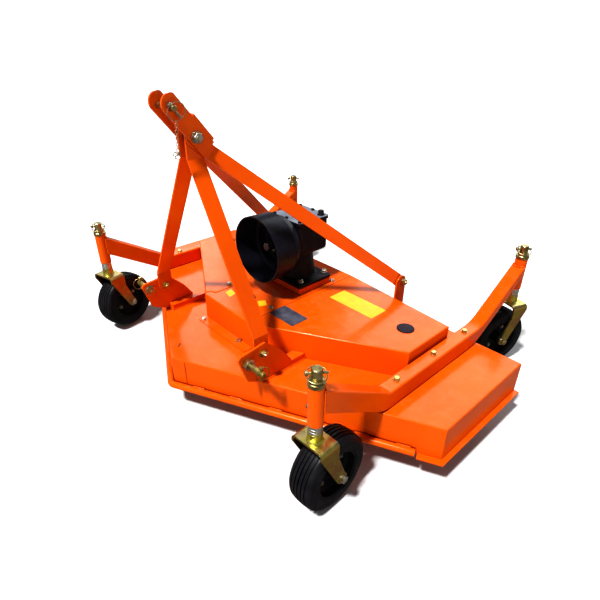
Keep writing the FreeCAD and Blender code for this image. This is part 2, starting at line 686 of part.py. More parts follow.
def caster_tyre():
    """Solid rubber tyre, crowned, with grooves round the tread."""
    half = WHEEL_WIDTH / 2
    bead = TYRE_BEAD
    shoulder_r = WHEEL_R - TYRE_CROWN - TYRE_SHOULDER
    turn = TYRE_SHOULDER * math.sqrt(0.5)
    edges = []
    corners = [V(-half, 0, shoulder_r), V(-half, 0, TYRE_BORE_R + bead), V(-half + bead, 0, TYRE_BORE_R),
               V(half - bead, 0, TYRE_BORE_R), V(half, 0, TYRE_BORE_R + bead), V(half, 0, shoulder_r)]
    for a, b in zip(corners, corners[1:]):
        edges.append(Part.LineSegment(a, b).toShape())
    flat = half - TYRE_SHOULDER
    edges.append(Part.Arc(V(half, 0, shoulder_r), V(flat + turn, 0, shoulder_r + turn),
                          V(flat, 0, shoulder_r + TYRE_SHOULDER)).toShape())
    edges.append(Part.Arc(V(flat, 0, shoulder_r + TYRE_SHOULDER), V(0, 0, WHEEL_R),
                          V(-flat, 0, shoulder_r + TYRE_SHOULDER)).toShape())
    edges.append(Part.Arc(V(-flat, 0, shoulder_r + TYRE_SHOULDER), V(-flat - turn, 0, shoulder_r + turn),
                          V(-half, 0, shoulder_r)).toShape())
    tyre = Part.Face(Part.Wire(edges)).revolve(V(0, 0, 0), RIGHT, 360)
    pitch = 2 * flat / (TREAD_GROOVES - 1)
    for k in range(TREAD_GROOVES):
        x = -flat + k * pitch
        tyre = tyre.cut(ring(WHEEL_R + GROOVE_DEPTH, WHEEL_R - GROOVE_DEPTH - TYRE_CROWN,
                             (x - GROOVE_WIDTH / 2, 0, 0), (x + GROOVE_WIDTH / 2, 0, 0)))
    tyre.translate(V(0, -TRAIL, WHEEL_R))
    return tyre


def caster_rim():
    """Split steel rim, dished on both sides, with a hub tube bored for the axle."""
    half = WHEEL_WIDTH / 2
    edge = half - RIM_SET_IN
    inside_r = TYRE_BORE_R - RIM_STEEL
    right_half = [(edge, TYRE_BORE_R), (edge, inside_r), (RIM_DISC_HALF + RIM_FLARE, inside_r - RIM_SET_IN),
                  (RIM_DISC_HALF, inside_r - RIM_DISC_STEP), (RIM_DISC_HALF, HUB_R + HUB_FILLET),
                  (RIM_DISC_HALF + HUB_FILLET, HUB_R), (HUB_HALF, HUB_R), (HUB_HALF, AXLE_R + RUNNING_GAP)]
    profile = right_half + [(-x, r) for x, r in reversed(right_half)]
    return turned(profile, (0, -TRAIL, WHEEL_R), RIGHT)


# ---- Three-point hitch ----

def hitch_bracket():
    """Right bracket: an upright plate on a foot that runs back along the deck."""
    x0 = BRACKET_OUT_X - BRACKET_PLATE
    pin_y, pin_z = HITCH_PIN
    bolt_y, bolt_z = LEG_BOLT
    foot_y = pin_y + PIN_AHEAD
    tail_y = foot_y + BRACKET_LENGTH
    side_view = [(foot_y, DECK_TOP_Z), (pin_y, pin_z - BRACKET_NECK_DROP, BRACKET_CORNER_R),
                 (pin_y - BRACKET_EAR_LEAD, pin_z + BRACKET_EAR_RISE, BRACKET_CORNER_R),
                 (bolt_y + BRACKET_TOP_LEAD, bolt_z + BRACKET_TOP_RISE, BRACKET_CORNER_R),
                 (bolt_y + BRACKET_SLOPE_START, bolt_z + BRACKET_SLOPE_TOP),
                 (bolt_y + BRACKET_SLOPE_END, bolt_z - BRACKET_SLOPE_DROP),
                 (tail_y, bolt_z - BRACKET_TAIL_DROP), (tail_y, DECK_TOP_Z)]
    plate = plate_yz(side_view, x0, BRACKET_OUT_X)
    foot = box(BRACKET_OUT_X - BRACKET_FOOT, BRACKET_OUT_X, foot_y + BRACKET_FOOT_LEAD,
               tail_y + BRACKET_FOOT_TAIL, DECK_TOP_Z, DECK_TOP_Z + BRACKET_FOOT_RISE)
    foot = foot.cut(plate_xy(side_lid_corners(), DECK_TOP_Z, COVER_TOP_Z))
    pin_hole = rod(HITCH_PIN_R, (x0 - 1, pin_y, pin_z), (BRACKET_OUT_X + 1, pin_y, pin_z))
    return plate.fuse(foot).removeSplitter().cut(pin_hole)


def hitch_pin():
    """Right lower-link pin: a turned stud with a hexagon collar, held by a nut inside."""
    x0 = BRACKET_OUT_X - BRACKET_PLATE
    tip_x = BRACKET_OUT_X + HITCH_PIN_REACH
    at = lambda x, rise=0: (x, HITCH_PIN[0], HITCH_PIN[1] + rise)
    chamfer = HITCH_PIN_CHAMFER
    start_x = x0 - HITCH_NUT - HITCH_THREAD_END
    length = tip_x - start_x
    stud = turned([(0, 0), (0, HITCH_PIN_R), (length - chamfer, HITCH_PIN_R),
                   (length, HITCH_PIN_R - chamfer), (length, 0)], at(start_x), RIGHT)
    collar = hexagon(HITCH_COLLAR_FLATS, at(BRACKET_OUT_X), at(BRACKET_OUT_X + HITCH_COLLAR))
    nut = hexagon(HITCH_NUT_FLATS, at(x0 - HITCH_NUT), at(x0))
    hole_x = tip_x - LINCH_HOLE_IN
    linch_hole = rod(LINCH_HOLE_R, at(hole_x, -2 * HITCH_PIN_R), at(hole_x, 2 * HITCH_PIN_R))
    return stud.fuse([collar, nut]).cut(linch_hole)


def bent_flat(start, end, width, first_flat, last_flat, shift=0):
    """Flat bar between two bolt centres, with both ends bent to stand square to the bolts.

    The bar's round ends and bends lie in upright planes facing sideways; between them it leans in or
    out. first_flat and last_flat run from each bolt to its bend. shift moves the bar off the line of
    the bolts, in its own width.
    """
    a, b = V(*start), V(*end)
    along = V(0, b.y - a.y, b.z - a.z).normalize()
    across = RIGHT.cross(along)
    reach = (b - a).dot(along)
    end_r = width / 2
    near = a + along * first_flat
    far = a + along * (reach - last_flat) + V(b.x - a.x, 0, 0)
    spine = [a - along * end_r, near, far, b + along * end_r]
    lean = math.atan2((far - near).x, (far - near).dot(along))
    half_plate = FLAT_PLATE / 2
    miter = half_plate * math.tan(lean / 2)
    outer, inner = [], []
    for point, lead in zip(spine, (0, miter, -miter, 0)):
        outer.append(point + RIGHT * half_plate - along * lead)
        inner.append(point - RIGHT * half_plate + along * lead)
    loop = outer + inner[::-1]
    blank = Part.Face(Part.makePolygon(loop + [loop[0]]))
    blank.translate(across * (shift - end_r))
    bar = blank.extrude(across * width)
    wide = end_r + abs(shift) + 1
    block = 8 * FLAT_PLATE
    for bolt, sign in ((a, -1), (b, 1)):
        out = along * sign
        corners = [bolt - RIGHT * block / 2 + across * w + out * l
                   for w, l in ((-wide, 0), (wide, 0), (wide, end_r + 1), (-wide, end_r + 1))]
        square_end = Part.Face(Part.makePolygon(corners + [corners[0]])).extrude(RIGHT * block)
        round_end = Part.makeCylinder(end_r, block, bolt - RIGHT * block / 2 + across * shift, RIGHT)
        bar = bar.cut(square_end.cut(round_end))
    return bar


def apex_hole():
    return rod(TOP_PIN_R, (0, *APEX), (EAR_OUTSIDE, *APEX))


def a_frame_leg():
    """Right A-frame leg: flat bar from inside the bracket up to the apex."""
    foot = (BRACKET_OUT_X - BRACKET_PLATE - FLAT_PLATE / 2, *LEG_BOLT)
    return bent_flat(foot, (LEG_APEX_X, *APEX), LEG_WIDTH, LEG_LOW_FLAT, LEG_TOP_FLAT).cut(apex_hole())


def brace():
    """Right brace: flat bar from outside the leg at the apex, back and down to its lug."""
    foot = (LUG_X - FLAT_PLATE, *LUG)
    bar = bent_flat((LEG_APEX_X + FLAT_PLATE, *APEX), foot, BRACE_WIDTH, BRACE_TOP_FLAT, BRACE_LOW_FLAT,
                    -BRACE_DROP)
    return bar.cut(apex_hole())


def brace_lugs():
    """Upright flats with round tops, welded to the deck behind the belt cover."""
    lugs = []
    half = LUG_WIDTH / 2
    y = LUG[0] - LUG_LEAD
    x0 = LUG_X - FLAT_PLATE / 2
    for side in SIDES.values():
        lug = box(x0, x0 + FLAT_PLATE, y - half, y + half, DECK_TOP_Z, LUG[1])
        lug = lug.fuse(rod(half, (x0, y, LUG[1]), (x0 + FLAT_PLATE, y, LUG[1])))
        foot = box(x0, x0 + LUG_FOOT, y - half, y + half, DECK_TOP_Z, DECK_TOP_Z + FLAT_PLATE)
        lugs.append(mirrored(lug.fuse(foot).removeSplitter(), side))
    return Part.makeCompound(lugs)


def apex_bolt():
    """Bolt through clevis, braces and legs, with the spacer tube between the legs."""
    at = lambda x: (x, *APEX)
    head_x = EAR_OUTSIDE + BODY_GAP
    end_x = head_x + APEX_BOLT_HEAD_THICK
    spacer = rod(SPACER_R, at(-APEX_HALF_GAP), at(APEX_HALF_GAP))
    bolt = rod(TOP_PIN_R, at(-end_x - APEX_THREAD_END), at(end_x))
    head = hexagon(APEX_BOLT_HEAD, at(head_x), at(end_x))
    nut = hexagon(APEX_BOLT_HEAD, at(-end_x), at(-head_x))
    return bolt.fuse([spacer, head, nut]).removeSplitter()


def top_link_clevis():
    """Floating top-link clevis: two ears joined by a plate along their upper back edges."""
    back = LEG_WIDTH / 2 + CLEVIS_WEB_GAP
    front, tip, tail, corner = CLEVIS_FRONT, CLEVIS_REACH, CLEVIS_TAIL, CLEVIS_CORNER
    tip_y, tip_z = CLEVIS_TIP_R - front, tip + CLEVIS_TIP_LEAD
    ears = []
    for x0 in (EAR_INSIDE, -EAR_OUTSIDE):
        x1 = x0 + FLAT_PLATE
        side_view = [(-front, tip_z), (-front, -tail, corner), (back, -tail, corner), (back, tip_z)]
        ear = plate_yz(side_view, x0, x1)
        tip_round = rod(CLEVIS_TIP_R, (x0, tip_y, tip_z), (x1, tip_y, tip_z))
        ear = ear.fuse(tip_round.common(box(x0, x1, -front, back, tip_z, tip_z + CLEVIS_TIP_R)))
        ear = ear.cut(rod(TOP_PIN_R + RUNNING_GAP, (x0, 0, 0), (x1, 0, 0)))
        ears.append(ear.cut(rod(TOP_PIN_R, (x0, 0, tip), (x1, 0, tip))))
    web = box(-EAR_OUTSIDE, EAR_OUTSIDE, back, back + CLEVIS_WEB, -CLEVIS_WEB_LOW, CLEVIS_WEB_HIGH)
    return on_clevis(ears[0].fuse([ears[1], web]).removeSplitter())


def on_clevis(shape):
    """Lean a piece drawn upright about the pivot to the clevis's parked angle."""
    leaned = shape.copy()
    leaned.rotate(V(0, 0, 0), RIGHT, 90 - CLEVIS_ANGLE)
    leaned.translate(V(0, *APEX))
    return leaned


def top_link_pin():
    """Drawbar pin through the ears' tips, with a flat head and a hole for its linch pin."""
    head = TOP_PIN_HEAD
    length = head + 2 * EAR_OUTSIDE + TOP_PIN_FREE_END
    profile = [(0, 0), (0, TOP_PIN_HEAD_R), (head, TOP_PIN_HEAD_R), (head, TOP_PIN_R),
               (length - TOP_PIN_CHAMFER, TOP_PIN_R), (length, TOP_PIN_R - TOP_PIN_CHAMFER), (length, 0)]
    pin = turned(profile, (-EAR_OUTSIDE - head, 0, CLEVIS_REACH), RIGHT)
    hole_x = EAR_OUTSIDE + TOP_PIN_FREE_END / 2
    linch_hole = rod(LINCH_HOLE_R, (hole_x, 0, CLEVIS_REACH - 2 * TOP_PIN_R),
                     (hole_x, 0, CLEVIS_REACH + 2 * TOP_PIN_R))
    return on_clevis(pin.cut(linch_hole))


# ---- Gearbox and power take-off ----

def gearbox_pedestal():
    """Welded box on the deck that lifts the gearbox clear of the belt cover."""
    x, y = BASE_HALF_X - PEDESTAL_SET_IN, BASE_HALF_Y - PEDESTAL_SET_IN
    return upright_edges(box(-x, x, -y, y, DECK_TOP_Z, GEARBOX_BASE_Z - BASE_THICK), PEDESTAL_CORNER_R)


def gearbox_housing():
    """Cast right-angle housing: base flange, flared neck, box-shaped body, input boss and end cap."""
    base = box(-BASE_HALF_X, BASE_HALF_X, -BASE_HALF_Y, BASE_HALF_Y, GEARBOX_BASE_Z - BASE_THICK,
               GEARBOX_BASE_Z)
    base = upright_edges(base, BASE_CORNER_R)
    body_z = GEARBOX_BASE_Z + BODY_RISE
    sunk = 4
    collar_r = NECK_TOP_R + NECK_COLLAR
    neck = turned([(0, 0), (0, NECK_FOOT_R + NECK_BEAD), (NECK_BEAD, NECK_FOOT_R),
                   (BODY_RISE - NECK_BEAD, NECK_TOP_R), (BODY_RISE - NECK_BEAD, collar_r),
                   (BODY_RISE + sunk, collar_r), (BODY_RISE + sunk, 0)], (0, 0, GEARBOX_BASE_Z), UP)
    body = box(-BODY_HALF_X, BODY_HALF_X, -BODY_FRONT, BODY_BACK, body_z, body_z + BODY_HEIGHT)
    body = upright_edges(body, BODY_CORNER_R)
    body = body.makeFillet(BODY_FOOT_R, edges_at_height(body, body_z))
    boss_length = BOSS_FRONT - BODY_FRONT + sunk
    boss = turned([(0, 0), (0, BOSS_R), (BOSS_STEP, BOSS_R), (boss_length, BOSS_STEP_R), (boss_length, 0)],
                  (0, -BOSS_FRONT, INPUT_Z), BACK)
    cap = turned([(0, 0), (0, END_CAP_R), (END_CAP - END_CAP_BEVEL, END_CAP_R), (END_CAP, END_CAP_BEVEL_R),
                  (END_CAP, 0)], (0, BODY_BACK - 1, INPUT_Z), BACK)
    housing = base.fuse([neck, body, boss, cap])
    bore = rod(JOURNAL_R + RUNNING_GAP, (0, -BOSS_FRONT - 1, INPUT_Z),
               (0, -BOSS_FRONT + JOURNAL_DEPTH + JOURNAL_END_GAP, INPUT_Z))
    return housing.cut(bore).removeSplitter()


def gearbox_lid():
    """Top lid plate with the breather and its boss."""
    z = GEARBOX_BASE_Z + BODY_RISE + BODY_HEIGHT
    top_z = z + LID_THICK
    half_x = BODY_HALF_X + LID_EDGE
    lid = box(-half_x, half_x, -BODY_FRONT - LID_EDGE, BODY_BACK + LID_EDGE, z, top_z)
    lid = upright_edges(lid, LID_CORNER_R)
    boss = turned([(0, 0), (0, BREATHER_BOSS_R), (BREATHER_BOSS, BREATHER_BOSS_TOP_R), (BREATHER_BOSS, 0)],
                  (BREATHER_X, BREATHER_Y, top_z), UP)
    seat_z = top_z + BREATHER_BOSS
    plug = hexagon(BREATHER_HEX, (BREATHER_X, BREATHER_Y, seat_z),
                   (BREATHER_X, BREATHER_Y, seat_z + BREATHER_RISE))
    return lid.fuse([boss, plug])


def pto_shield():
    """Moulded guard round the input shaft: a stepped bell, open to the front."""
    length = SHIELD_BACK_Y - SHIELD_FRONT_Y
    wall = SHIELD_WALL
    bevel = SHIELD_BACK_BEVEL
    neck_r = SHIELD_R - SHIELD_STEP
    end_r = neck_r - SHIELD_NECK_TAPER
    bell_r = SHIELD_R - SHIELD_TAPER
    outside = [(0, SHIELD_R), (SHIELD_BELL, bell_r), (SHIELD_BELL + SHIELD_SHOULDER, neck_r),
               (length - bevel, end_r), (length, end_r - bevel), (length, BOSS_R)]
    inside = [(length - wall, BOSS_R), (length - wall, end_r - bevel - wall),
              (length - bevel - wall / 2, end_r - wall), (SHIELD_BELL + SHIELD_SHOULDER - 1, neck_r - wall),
              (SHIELD_BELL - 2, bell_r - wall), (0, SHIELD_R - wall)]
    return turned(outside + inside, (0, SHIELD_FRONT_Y, INPUT_Z), BACK)


def pto_shaft():
    """Input shaft: plain journal in the housing and a splined end with a locking groove."""
    reach = -BOSS_FRONT - PTO_TIP_Y + 1
    shaft = turned([(0, 0), (0, PTO_R - PTO_CHAMFER), (PTO_CHAMFER, PTO_R), (reach, PTO_R), (reach, 0)],
                   (0, PTO_TIP_Y, INPUT_Z), BACK)
    slot_half = PTO_R * math.sin(math.pi / SPLINES / 2)
    for k in range(SPLINES):
        slot = box(-slot_half, slot_half, PTO_TIP_Y - 1, PTO_TIP_Y + SPLINE_LENGTH,
                   SPLINE_ROOT_R, 2 * PTO_R)
        slot.rotate(V(0, 0, 0), BACK, k * 360 / SPLINES)
        slot.translate(V(0, 0, INPUT_Z))
        shaft = shaft.cut(slot)
    groove_y = PTO_TIP_Y + LOCK_GROOVE_IN
    shaft = shaft.cut(ring(2 * PTO_R, LOCK_GROOVE_R, (0, groove_y, INPUT_Z),
                           (0, groove_y + LOCK_GROOVE, INPUT_Z)))
    journal = rod(JOURNAL_R, (0, -BOSS_FRONT - JOURNAL_PROUD, INPUT_Z),
                  (0, -BOSS_FRONT + JOURNAL_DEPTH, INPUT_Z))
    return shaft.fuse(journal)


# ---- Spindles and blades, seen from below ----

def spindle_housings():
    """Cast bearing housings bolted under the deck, with four webs each, one for each blade."""
    under = DECK_TOP_Z - SHEET
    web_top = under - SPINDLE_FLANGE / 2
    web_in = SPINDLE_END_R - 4
    parts = []
    for x, y in SPINDLES.values():
        profile = [(0, 0), (0, SPINDLE_FLANGE_R), (-SPINDLE_FLANGE, SPINDLE_FLANGE_R),
                   (-SPINDLE_FLANGE, SPINDLE_ROOT_R), (-SPINDLE_DROP, SPINDLE_END_R), (-SPINDLE_DROP, 0)]
        casting = turned(profile, (x, y, under), UP)
        for k in range(SPINDLE_WEBS):
            web = plate_yz([(web_in, under - 0.9 * SPINDLE_DROP), (web_in, web_top),
                            (SPINDLE_FLANGE_R - 4, web_top)], -SPINDLE_WEB / 2, SPINDLE_WEB / 2)
            web.rotate(V(0, 0, 0), UP, (k + 0.5) * 360 / SPINDLE_WEBS)
            web.translate(V(x, y, 0))
            casting = casting.fuse(web)
        bore = rod(SPINDLE_SHAFT_R + RUNNING_GAP, (x, y, LIP_Z), (x, y, under - SPINDLE_ROOF))
        parts.append(casting.cut(bore).removeSplitter())
    return Part.makeCompound(parts)


def blade_hub(x, y):
    """Spindle shaft, blade seat, and the washer and bolt that clamp the blade."""
    under = DECK_TOP_Z - SHEET - BLADE_Z
    length = under - SPINDLE_ROOF - SHAFT_END_GAP
    free_drop = under - SPINDLE_DROP - SLINGER_GAP
    seat_top = BLADE_THICK + BLADE_SEAT
    profile = [(-BLADE_WASHER, 0), (-BLADE_WASHER, BLADE_WASHER_R), (0, BLADE_WASHER_R), (0, BLADE_BOLT_R),
               (BLADE_THICK, BLADE_BOLT_R), (BLADE_THICK, BLADE_SEAT_R), (seat_top, BLADE_SEAT_R),
               (seat_top + BLADE_SEAT_FLARE, SLINGER_R), (free_drop, SLINGER_R),
               (free_drop, SPINDLE_SHAFT_R), (length, SPINDLE_SHAFT_R), (length, 0)]
    hub = turned(profile, (x, y, BLADE_Z), UP)
    head_z = BLADE_Z - BLADE_WASHER
    head = hexagon(BLADE_BOLT_HEAD, (x, y, head_z - BLADE_BOLT_HEAD_THICK), (x, y, head_z))
    return hub.fuse(head).removeSplitter()


def blade(x, y, heading):
    """Flat bar blade with ground leading edges, and tips twisted up behind into lift wings."""
    half = BLADE_WIDTH / 2
    thick = BLADE_THICK
    end_x = BLADE_R - BLADE_TIP_ROUND
    wing_x = end_x - BLADE_WING_LENGTH
    edge_x = end_x - BLADE_EDGE_LENGTH
    split = half - BLADE_WING_WIDTH
    skew, rise = BLADE_WING_SKEW, BLADE_WING_RISE
    bar = box(-BLADE_R, BLADE_R, -half, half, 0, thick).common(Part.makeCylinder(BLADE_R, thick))
    pieces = []
    for turn in (0, 180):
        bevel = Part.makePolygon([V(edge_x, -half, thick), V(edge_x, BLADE_EDGE_WIDTH - half, thick),
                                  V(edge_x, -half, BLADE_EDGE_THICK), V(edge_x, -half, thick)])
        ground = Part.Face(bevel).extrude(RIGHT * (BLADE_R + 1 - edge_x))
        notch = box(wing_x, BLADE_R + 1, split, half, 0, thick)
        root = Part.makePolygon([V(wing_x, split, 0), V(wing_x, half, 0), V(wing_x, half, thick),
                                 V(wing_x, split, thick), V(wing_x, split, 0)])
        tip = Part.makePolygon([V(end_x, split, 0), V(end_x, half - skew, rise),
                                V(end_x, half - 2 * skew, rise + thick), V(end_x, split - skew, thick),
                                V(end_x, split, 0)])
        wing = Part.makeLoft([root, tip], True)
        for cutter in (ground, notch):
            cutter.rotate(V(0, 0, 0), UP, turn)
            bar = bar.cut(cutter)
        wing.rotate(V(0, 0, 0), UP, turn)
        pieces.append(wing)
    made = bar.fuse(pieces).cut(rod(BLADE_BOLT_R, (0, 0, 0), (0, 0, thick)))
    made.rotate(V(0, 0, 0), UP, heading)
    made.translate(V(x, y, BLADE_Z))
    return made.removeSplitter()


def build():
    """Every piece of the mower by name."""
    front_left, front_right = front_skirts()
    pieces = {
        "deck_plate": deck_plate(),
        "front_skirt_left": front_left,
        "front_skirt_right": front_right,
        "rear_skirt": rear_skirt(),
        "skid_bar": skid_bar(),
        "belt_cover_centre": belt_cover_centre(),
        "access_caps": access_caps(),
        "caster_posts": caster_posts(),
        "brace_lugs": brace_lugs(),
        "apex_bolt": apex_bolt(),
        "top_link_clevis": top_link_clevis(),
        "top_link_pin": top_link_pin(),
        "gearbox_pedestal": gearbox_pedestal(),
        "gearbox_housing": gearbox_housing(),
        "gearbox_lid": gearbox_lid(),
        "pto_shield": pto_shield(),
        "pto_shaft": pto_shaft(),
        "spindle_housings": spindle_housings(),
    }
    paired = {"side_skirt": side_skirt, "belt_cover": belt_cover_side, "side_rail": side_rail,
              "hitch_bracket": hitch_bracket, "hitch_pin": hitch_pin, "a_frame_leg": a_frame_leg,
              "brace": brace}
    for name, make in paired.items():
        right_hand = make()
        for side, sign in SIDES.items():
            pieces[f"{name}_{side}"] = mirrored(right_hand, sign)
    for side, (x, y) in SPINDLES.items():
        pieces[f"blade_hub_{side}"] = blade_hub(x, y)
        pieces[f"blade_{side}"] = blade(x, y, BLADE_HEADINGS[side])
    fork, rings, tyre, rim = caster_fork(), caster_rings(), caster_tyre(), caster_rim()
    for corner in POSTS:
        pieces[f"caster_fork_{corner}"] = placed(fork, corner)
        pieces[f"caster_rings_{corner}"] = placed(rings, corner)
        pieces[f"tyre_{corner}"] = placed(tyre, corner)
        pieces[f"rim_{corner}"] = placed(rim, corner)
    return pieces


os.makedirs("parts", exist_ok=True)
for piece_name, piece in build().items():
    piece.translate(V(0, -MIDDLE_Y, 0))
    piece.exportStep(f"parts/{piece_name}.step")
    print(f"{piece_name:28s} solids {len(piece.Solids)} valid {piece.isValid()} "
          f"volume {piece.Volume / 1e6:8.3f} l")
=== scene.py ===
import math

import bmesh
import bpy
from mathutils import Matrix, Vector


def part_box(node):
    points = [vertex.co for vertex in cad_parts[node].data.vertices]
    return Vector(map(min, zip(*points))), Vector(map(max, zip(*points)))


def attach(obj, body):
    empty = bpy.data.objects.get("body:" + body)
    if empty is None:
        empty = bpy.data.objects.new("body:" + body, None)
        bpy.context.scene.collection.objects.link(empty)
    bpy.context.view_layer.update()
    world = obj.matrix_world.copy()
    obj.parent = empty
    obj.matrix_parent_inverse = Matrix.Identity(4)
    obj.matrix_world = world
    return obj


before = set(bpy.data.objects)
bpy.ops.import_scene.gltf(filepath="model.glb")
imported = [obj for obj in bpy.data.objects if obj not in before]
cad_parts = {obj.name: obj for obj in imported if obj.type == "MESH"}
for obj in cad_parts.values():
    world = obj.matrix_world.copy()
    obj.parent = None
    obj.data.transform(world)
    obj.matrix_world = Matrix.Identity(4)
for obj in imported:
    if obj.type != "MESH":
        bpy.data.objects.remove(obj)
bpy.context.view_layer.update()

# ---- Camera ----
# Held at chest height off the machine's front right corner, a little higher than its top link, and
# tipped down at the gearbox.

yard_lens = bpy.data.cameras.new("yard_camera")
yard_lens.lens, yard_lens.sensor_width = 28.1, 36.0      # mm
camera_spot = (1.3806, -1.2666, 1.3056)
turned_left, tipped_up, rolled = 47.26, 60.07, 0.27      # degrees, from looking straight down
camera = bpy.data.objects.new("yard_camera", yard_lens)
camera.matrix_world = (Matrix.Translation(camera_spot)
                       @ Matrix.Rotation(math.radians(turned_left), 4, "Z")
                       @ Matrix.Rotation(math.radians(tipped_up), 4, "X")
                       @ Matrix.Rotation(math.radians(rolled), 4, "Z"))
bpy.context.scene.collection.objects.link(camera)
bpy.context.scene.camera = camera

# ---- Cutting deck ----
# 5 mm steel sheet with a pointed front and a rolled rim; skirts of the same sheet are welded under
# it. The whole deck is sprayed with orange powder and baked: glossy, with a faint peel.


def finish_tree(name):
    """A new finish: its tree, its shader, and where each point lies on the machine."""
    finish = bpy.data.materials.new(name)
    finish.use_nodes = True
    tree = finish.node_tree
    place = tree.nodes.new("ShaderNodeTexCoord").outputs["Object"]
    return finish, tree, tree.nodes["Principled BSDF"], place


def step(tree, kind, sockets, **settings):
    """One node; a socket given another node's output is joined to it, else it is set."""
    node = tree.nodes.new(kind)
    for key, value in settings.items():
        setattr(node, key, value)
    for key, value in sockets.items():
        if isinstance(value, bpy.types.NodeSocket):
            tree.links.new(value, node.inputs[key])
        else:
            node.inputs[key].default_value = value
    return node


def speckle(tree, place, scale, detail=3.0, roughness=0.55, distortion=0.0):
    """Cloudy variation; a bigger scale is finer."""
    return step(tree, "ShaderNodeTexNoise", {"Vector": place, "Scale": scale, "Detail": detail,
                "Roughness": roughness, "Distortion": distortion}).outputs["Fac"]


def graded(tree, factor, *stops):
    """Colour or grey by factor; a stop is (position, grey) or (position, (r, g, b))."""
    node = step(tree, "ShaderNodeValToRGB", {"Fac": factor})
    marks = node.color_ramp.elements
    while len(marks) < len(stops):
        marks.new(0.5)
    for mark, (at, tone) in zip(marks, stops):
        mark.position = at
        mark.color = (*tone, 1) if isinstance(tone, tuple) else (tone, tone, tone, 1)
    return node.outputs["Color"]


def laid_over(tree, amount, under, over):
    """over covers under by amount."""
    node = tree.nodes.new("ShaderNodeMix")
    node.data_type = "RGBA"
    for socket, value in ((node.inputs[0], amount), (node.inputs[6], under), (node.inputs[7], over)):
        if isinstance(value, bpy.types.NodeSocket):
            tree.links.new(value, socket)
        else:
            socket.default_value = (*value, 1)
    return node.outputs[2]


def maths(tree, kind, a, b=0.0):
    """One sum of two values, each a number or a node's output."""
    return step(tree, "ShaderNodeMath", {0: a, 1: b}, operation=kind).outputs[0]


def times(tree, a, b):
    """Two of them multiplied."""
    return maths(tree, "MULTIPLY", a, b)


def plus(tree, a, b):
    """Two of them added."""
    return maths(tree, "ADD", a, b)


def facing_up(tree):
    """1 on faces that look up, 0 on walls and undersides."""
    normal = tree.nodes.new("ShaderNodeNewGeometry").outputs["Normal"]
    height = step(tree, "ShaderNodeSeparateXYZ", {"Vector": normal}).outputs["Z"]
    return graded(tree, height, (0.55, 0.0), (0.95, 1.0))


def above_ground(tree, place):
    """Each point's height over the ground, in metres."""
    return step(tree, "ShaderNodeSeparateXYZ", {"Vector": place}).outputs["Z"]


def surface(tree, shader, roll, height, strength, distance):
    """Edges rolled over by a small radius, and a relief of the given height on every face.

    Gives back how near an edge each point is, from 0 on open faces.
    """
    rolled = step(tree, "ShaderNodeBevel", {"Radius": roll}, samples=6).outputs["Normal"]
    bump = step(tree, "ShaderNodeBump", {"Height": height, "Strength": strength, "Distance": distance,
                                         "Normal": rolled})
    tree.links.new(bump.outputs["Normal"], shader.inputs["Normal"])
    straight = tree.nodes.new("ShaderNodeNewGeometry").outputs["Normal"]
    turned = step(tree, "ShaderNodeVectorMath", {0: rolled, 1: straight}, operation="DOT_PRODUCT")
    return graded(tree, maths(tree, "SUBTRACT", 1.0, turned.outputs["Value"]), (0.01, 0.0), (0.12, 1.0))


def patchy(tree, place, scale, smooth, rough, detail=5.0, roughness=0.55):
    """Gloss that wanders between a smooth and a rough value."""
    return graded(tree, speckle(tree, place, scale, detail, roughness), (0.3, smooth), (0.7, rough))


def closed(finish, tree, shader, colour, gloss, mirror=None, metal=None):
    """Join colour and gloss to the shader, and set how much it mirrors and how far it is metal."""
    tree.links.new(colour, shader.inputs["Base Color"])
    tree.links.new(gloss, shader.inputs["Roughness"])
    if mirror is not None:
        shader.inputs["Specular IOR Level"].default_value = mirror
    if metal is not None:
        shader.inputs["Metallic"].default_value = metal
    return finish


def orange_powder_coat():
    """Thick glossy powder: chipped on edges and dusty on top, with a painted highlight paler along edges and
    painted shade darkening corners and seams.
    """
    finish, tree, shader, place = finish_tree("orange_powder_coat")
    edges = surface(tree, shader, 0.0012, speckle(tree, place, 330.0, 2.0), 0.10, 0.0004)
    colour = graded(tree, speckle(tree, place, 2.6, 4.0),
                    (0.30, (0.63, 0.087, 0.0010)), (0.70, (0.75, 0.115, 0.0015)))
    # painted highlight: a paler, yellower orange laid in patches along the edges
    patches = graded(tree, speckle(tree, place, 60.0, 4.0), (0.40, 0.0), (0.65, 0.55))
    edge_highlight = (1.0, 0.20, 0.045)
    colour = laid_over(tree, times(tree, edges, patches), colour, edge_highlight)
    settled = graded(tree, speckle(tree, place, 24.0, 8.0, 0.72), (0.48, 0.0), (0.80, 0.13))
    yard_dust = (0.78, 0.42, 0.26)
    colour = laid_over(tree, times(tree, facing_up(tree), settled), colour, yard_dust)
    chips = graded(tree, speckle(tree, place, 34.0, 6.0, 0.8), (0.60, 0.0), (0.66, 0.8))
    bare_edge = (0.16, 0.035, 0.014)
    colour = laid_over(tree, times(tree, edges, chips), colour, bare_edge)
    # painted shade: the coat is darkened where nearby surfaces close round a point, in corners and seams
    corner = step(tree, "ShaderNodeAmbientOcclusion", {"Distance": 0.006}, samples=6).outputs["AO"]
    corner_shade = (0.17, 0.011, 0.0008)
    colour = laid_over(tree, graded(tree, corner, (0.42, 0.9), (0.72, 0.0)), colour, corner_shade)
    gloss = graded(tree, speckle(tree, place, 14.0, 6.0, 0.7), (0.32, 0.13), (0.72, 0.24))
    shader.inputs["Specular Tint"].default_value = (1.0, 0.80, 0.62, 1)
    shader.inputs["Coat Weight"].default_value = 0.06
    shader.inputs["Coat Roughness"].default_value = 0.06
    return closed(finish, tree, shader, colour, gloss, mirror=0.30)


def dress(names, finish):
    """Give nodes that the frame brings their finish."""
    for name in names:
        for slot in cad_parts[name].material_slots:
            slot.material = finish


coat = orange_powder_coat()
dress(["deck_plate", "front_skirt_left", "front_skirt_right", "side_skirt_left", "side_skirt_right",
       "rear_skirt"], coat)

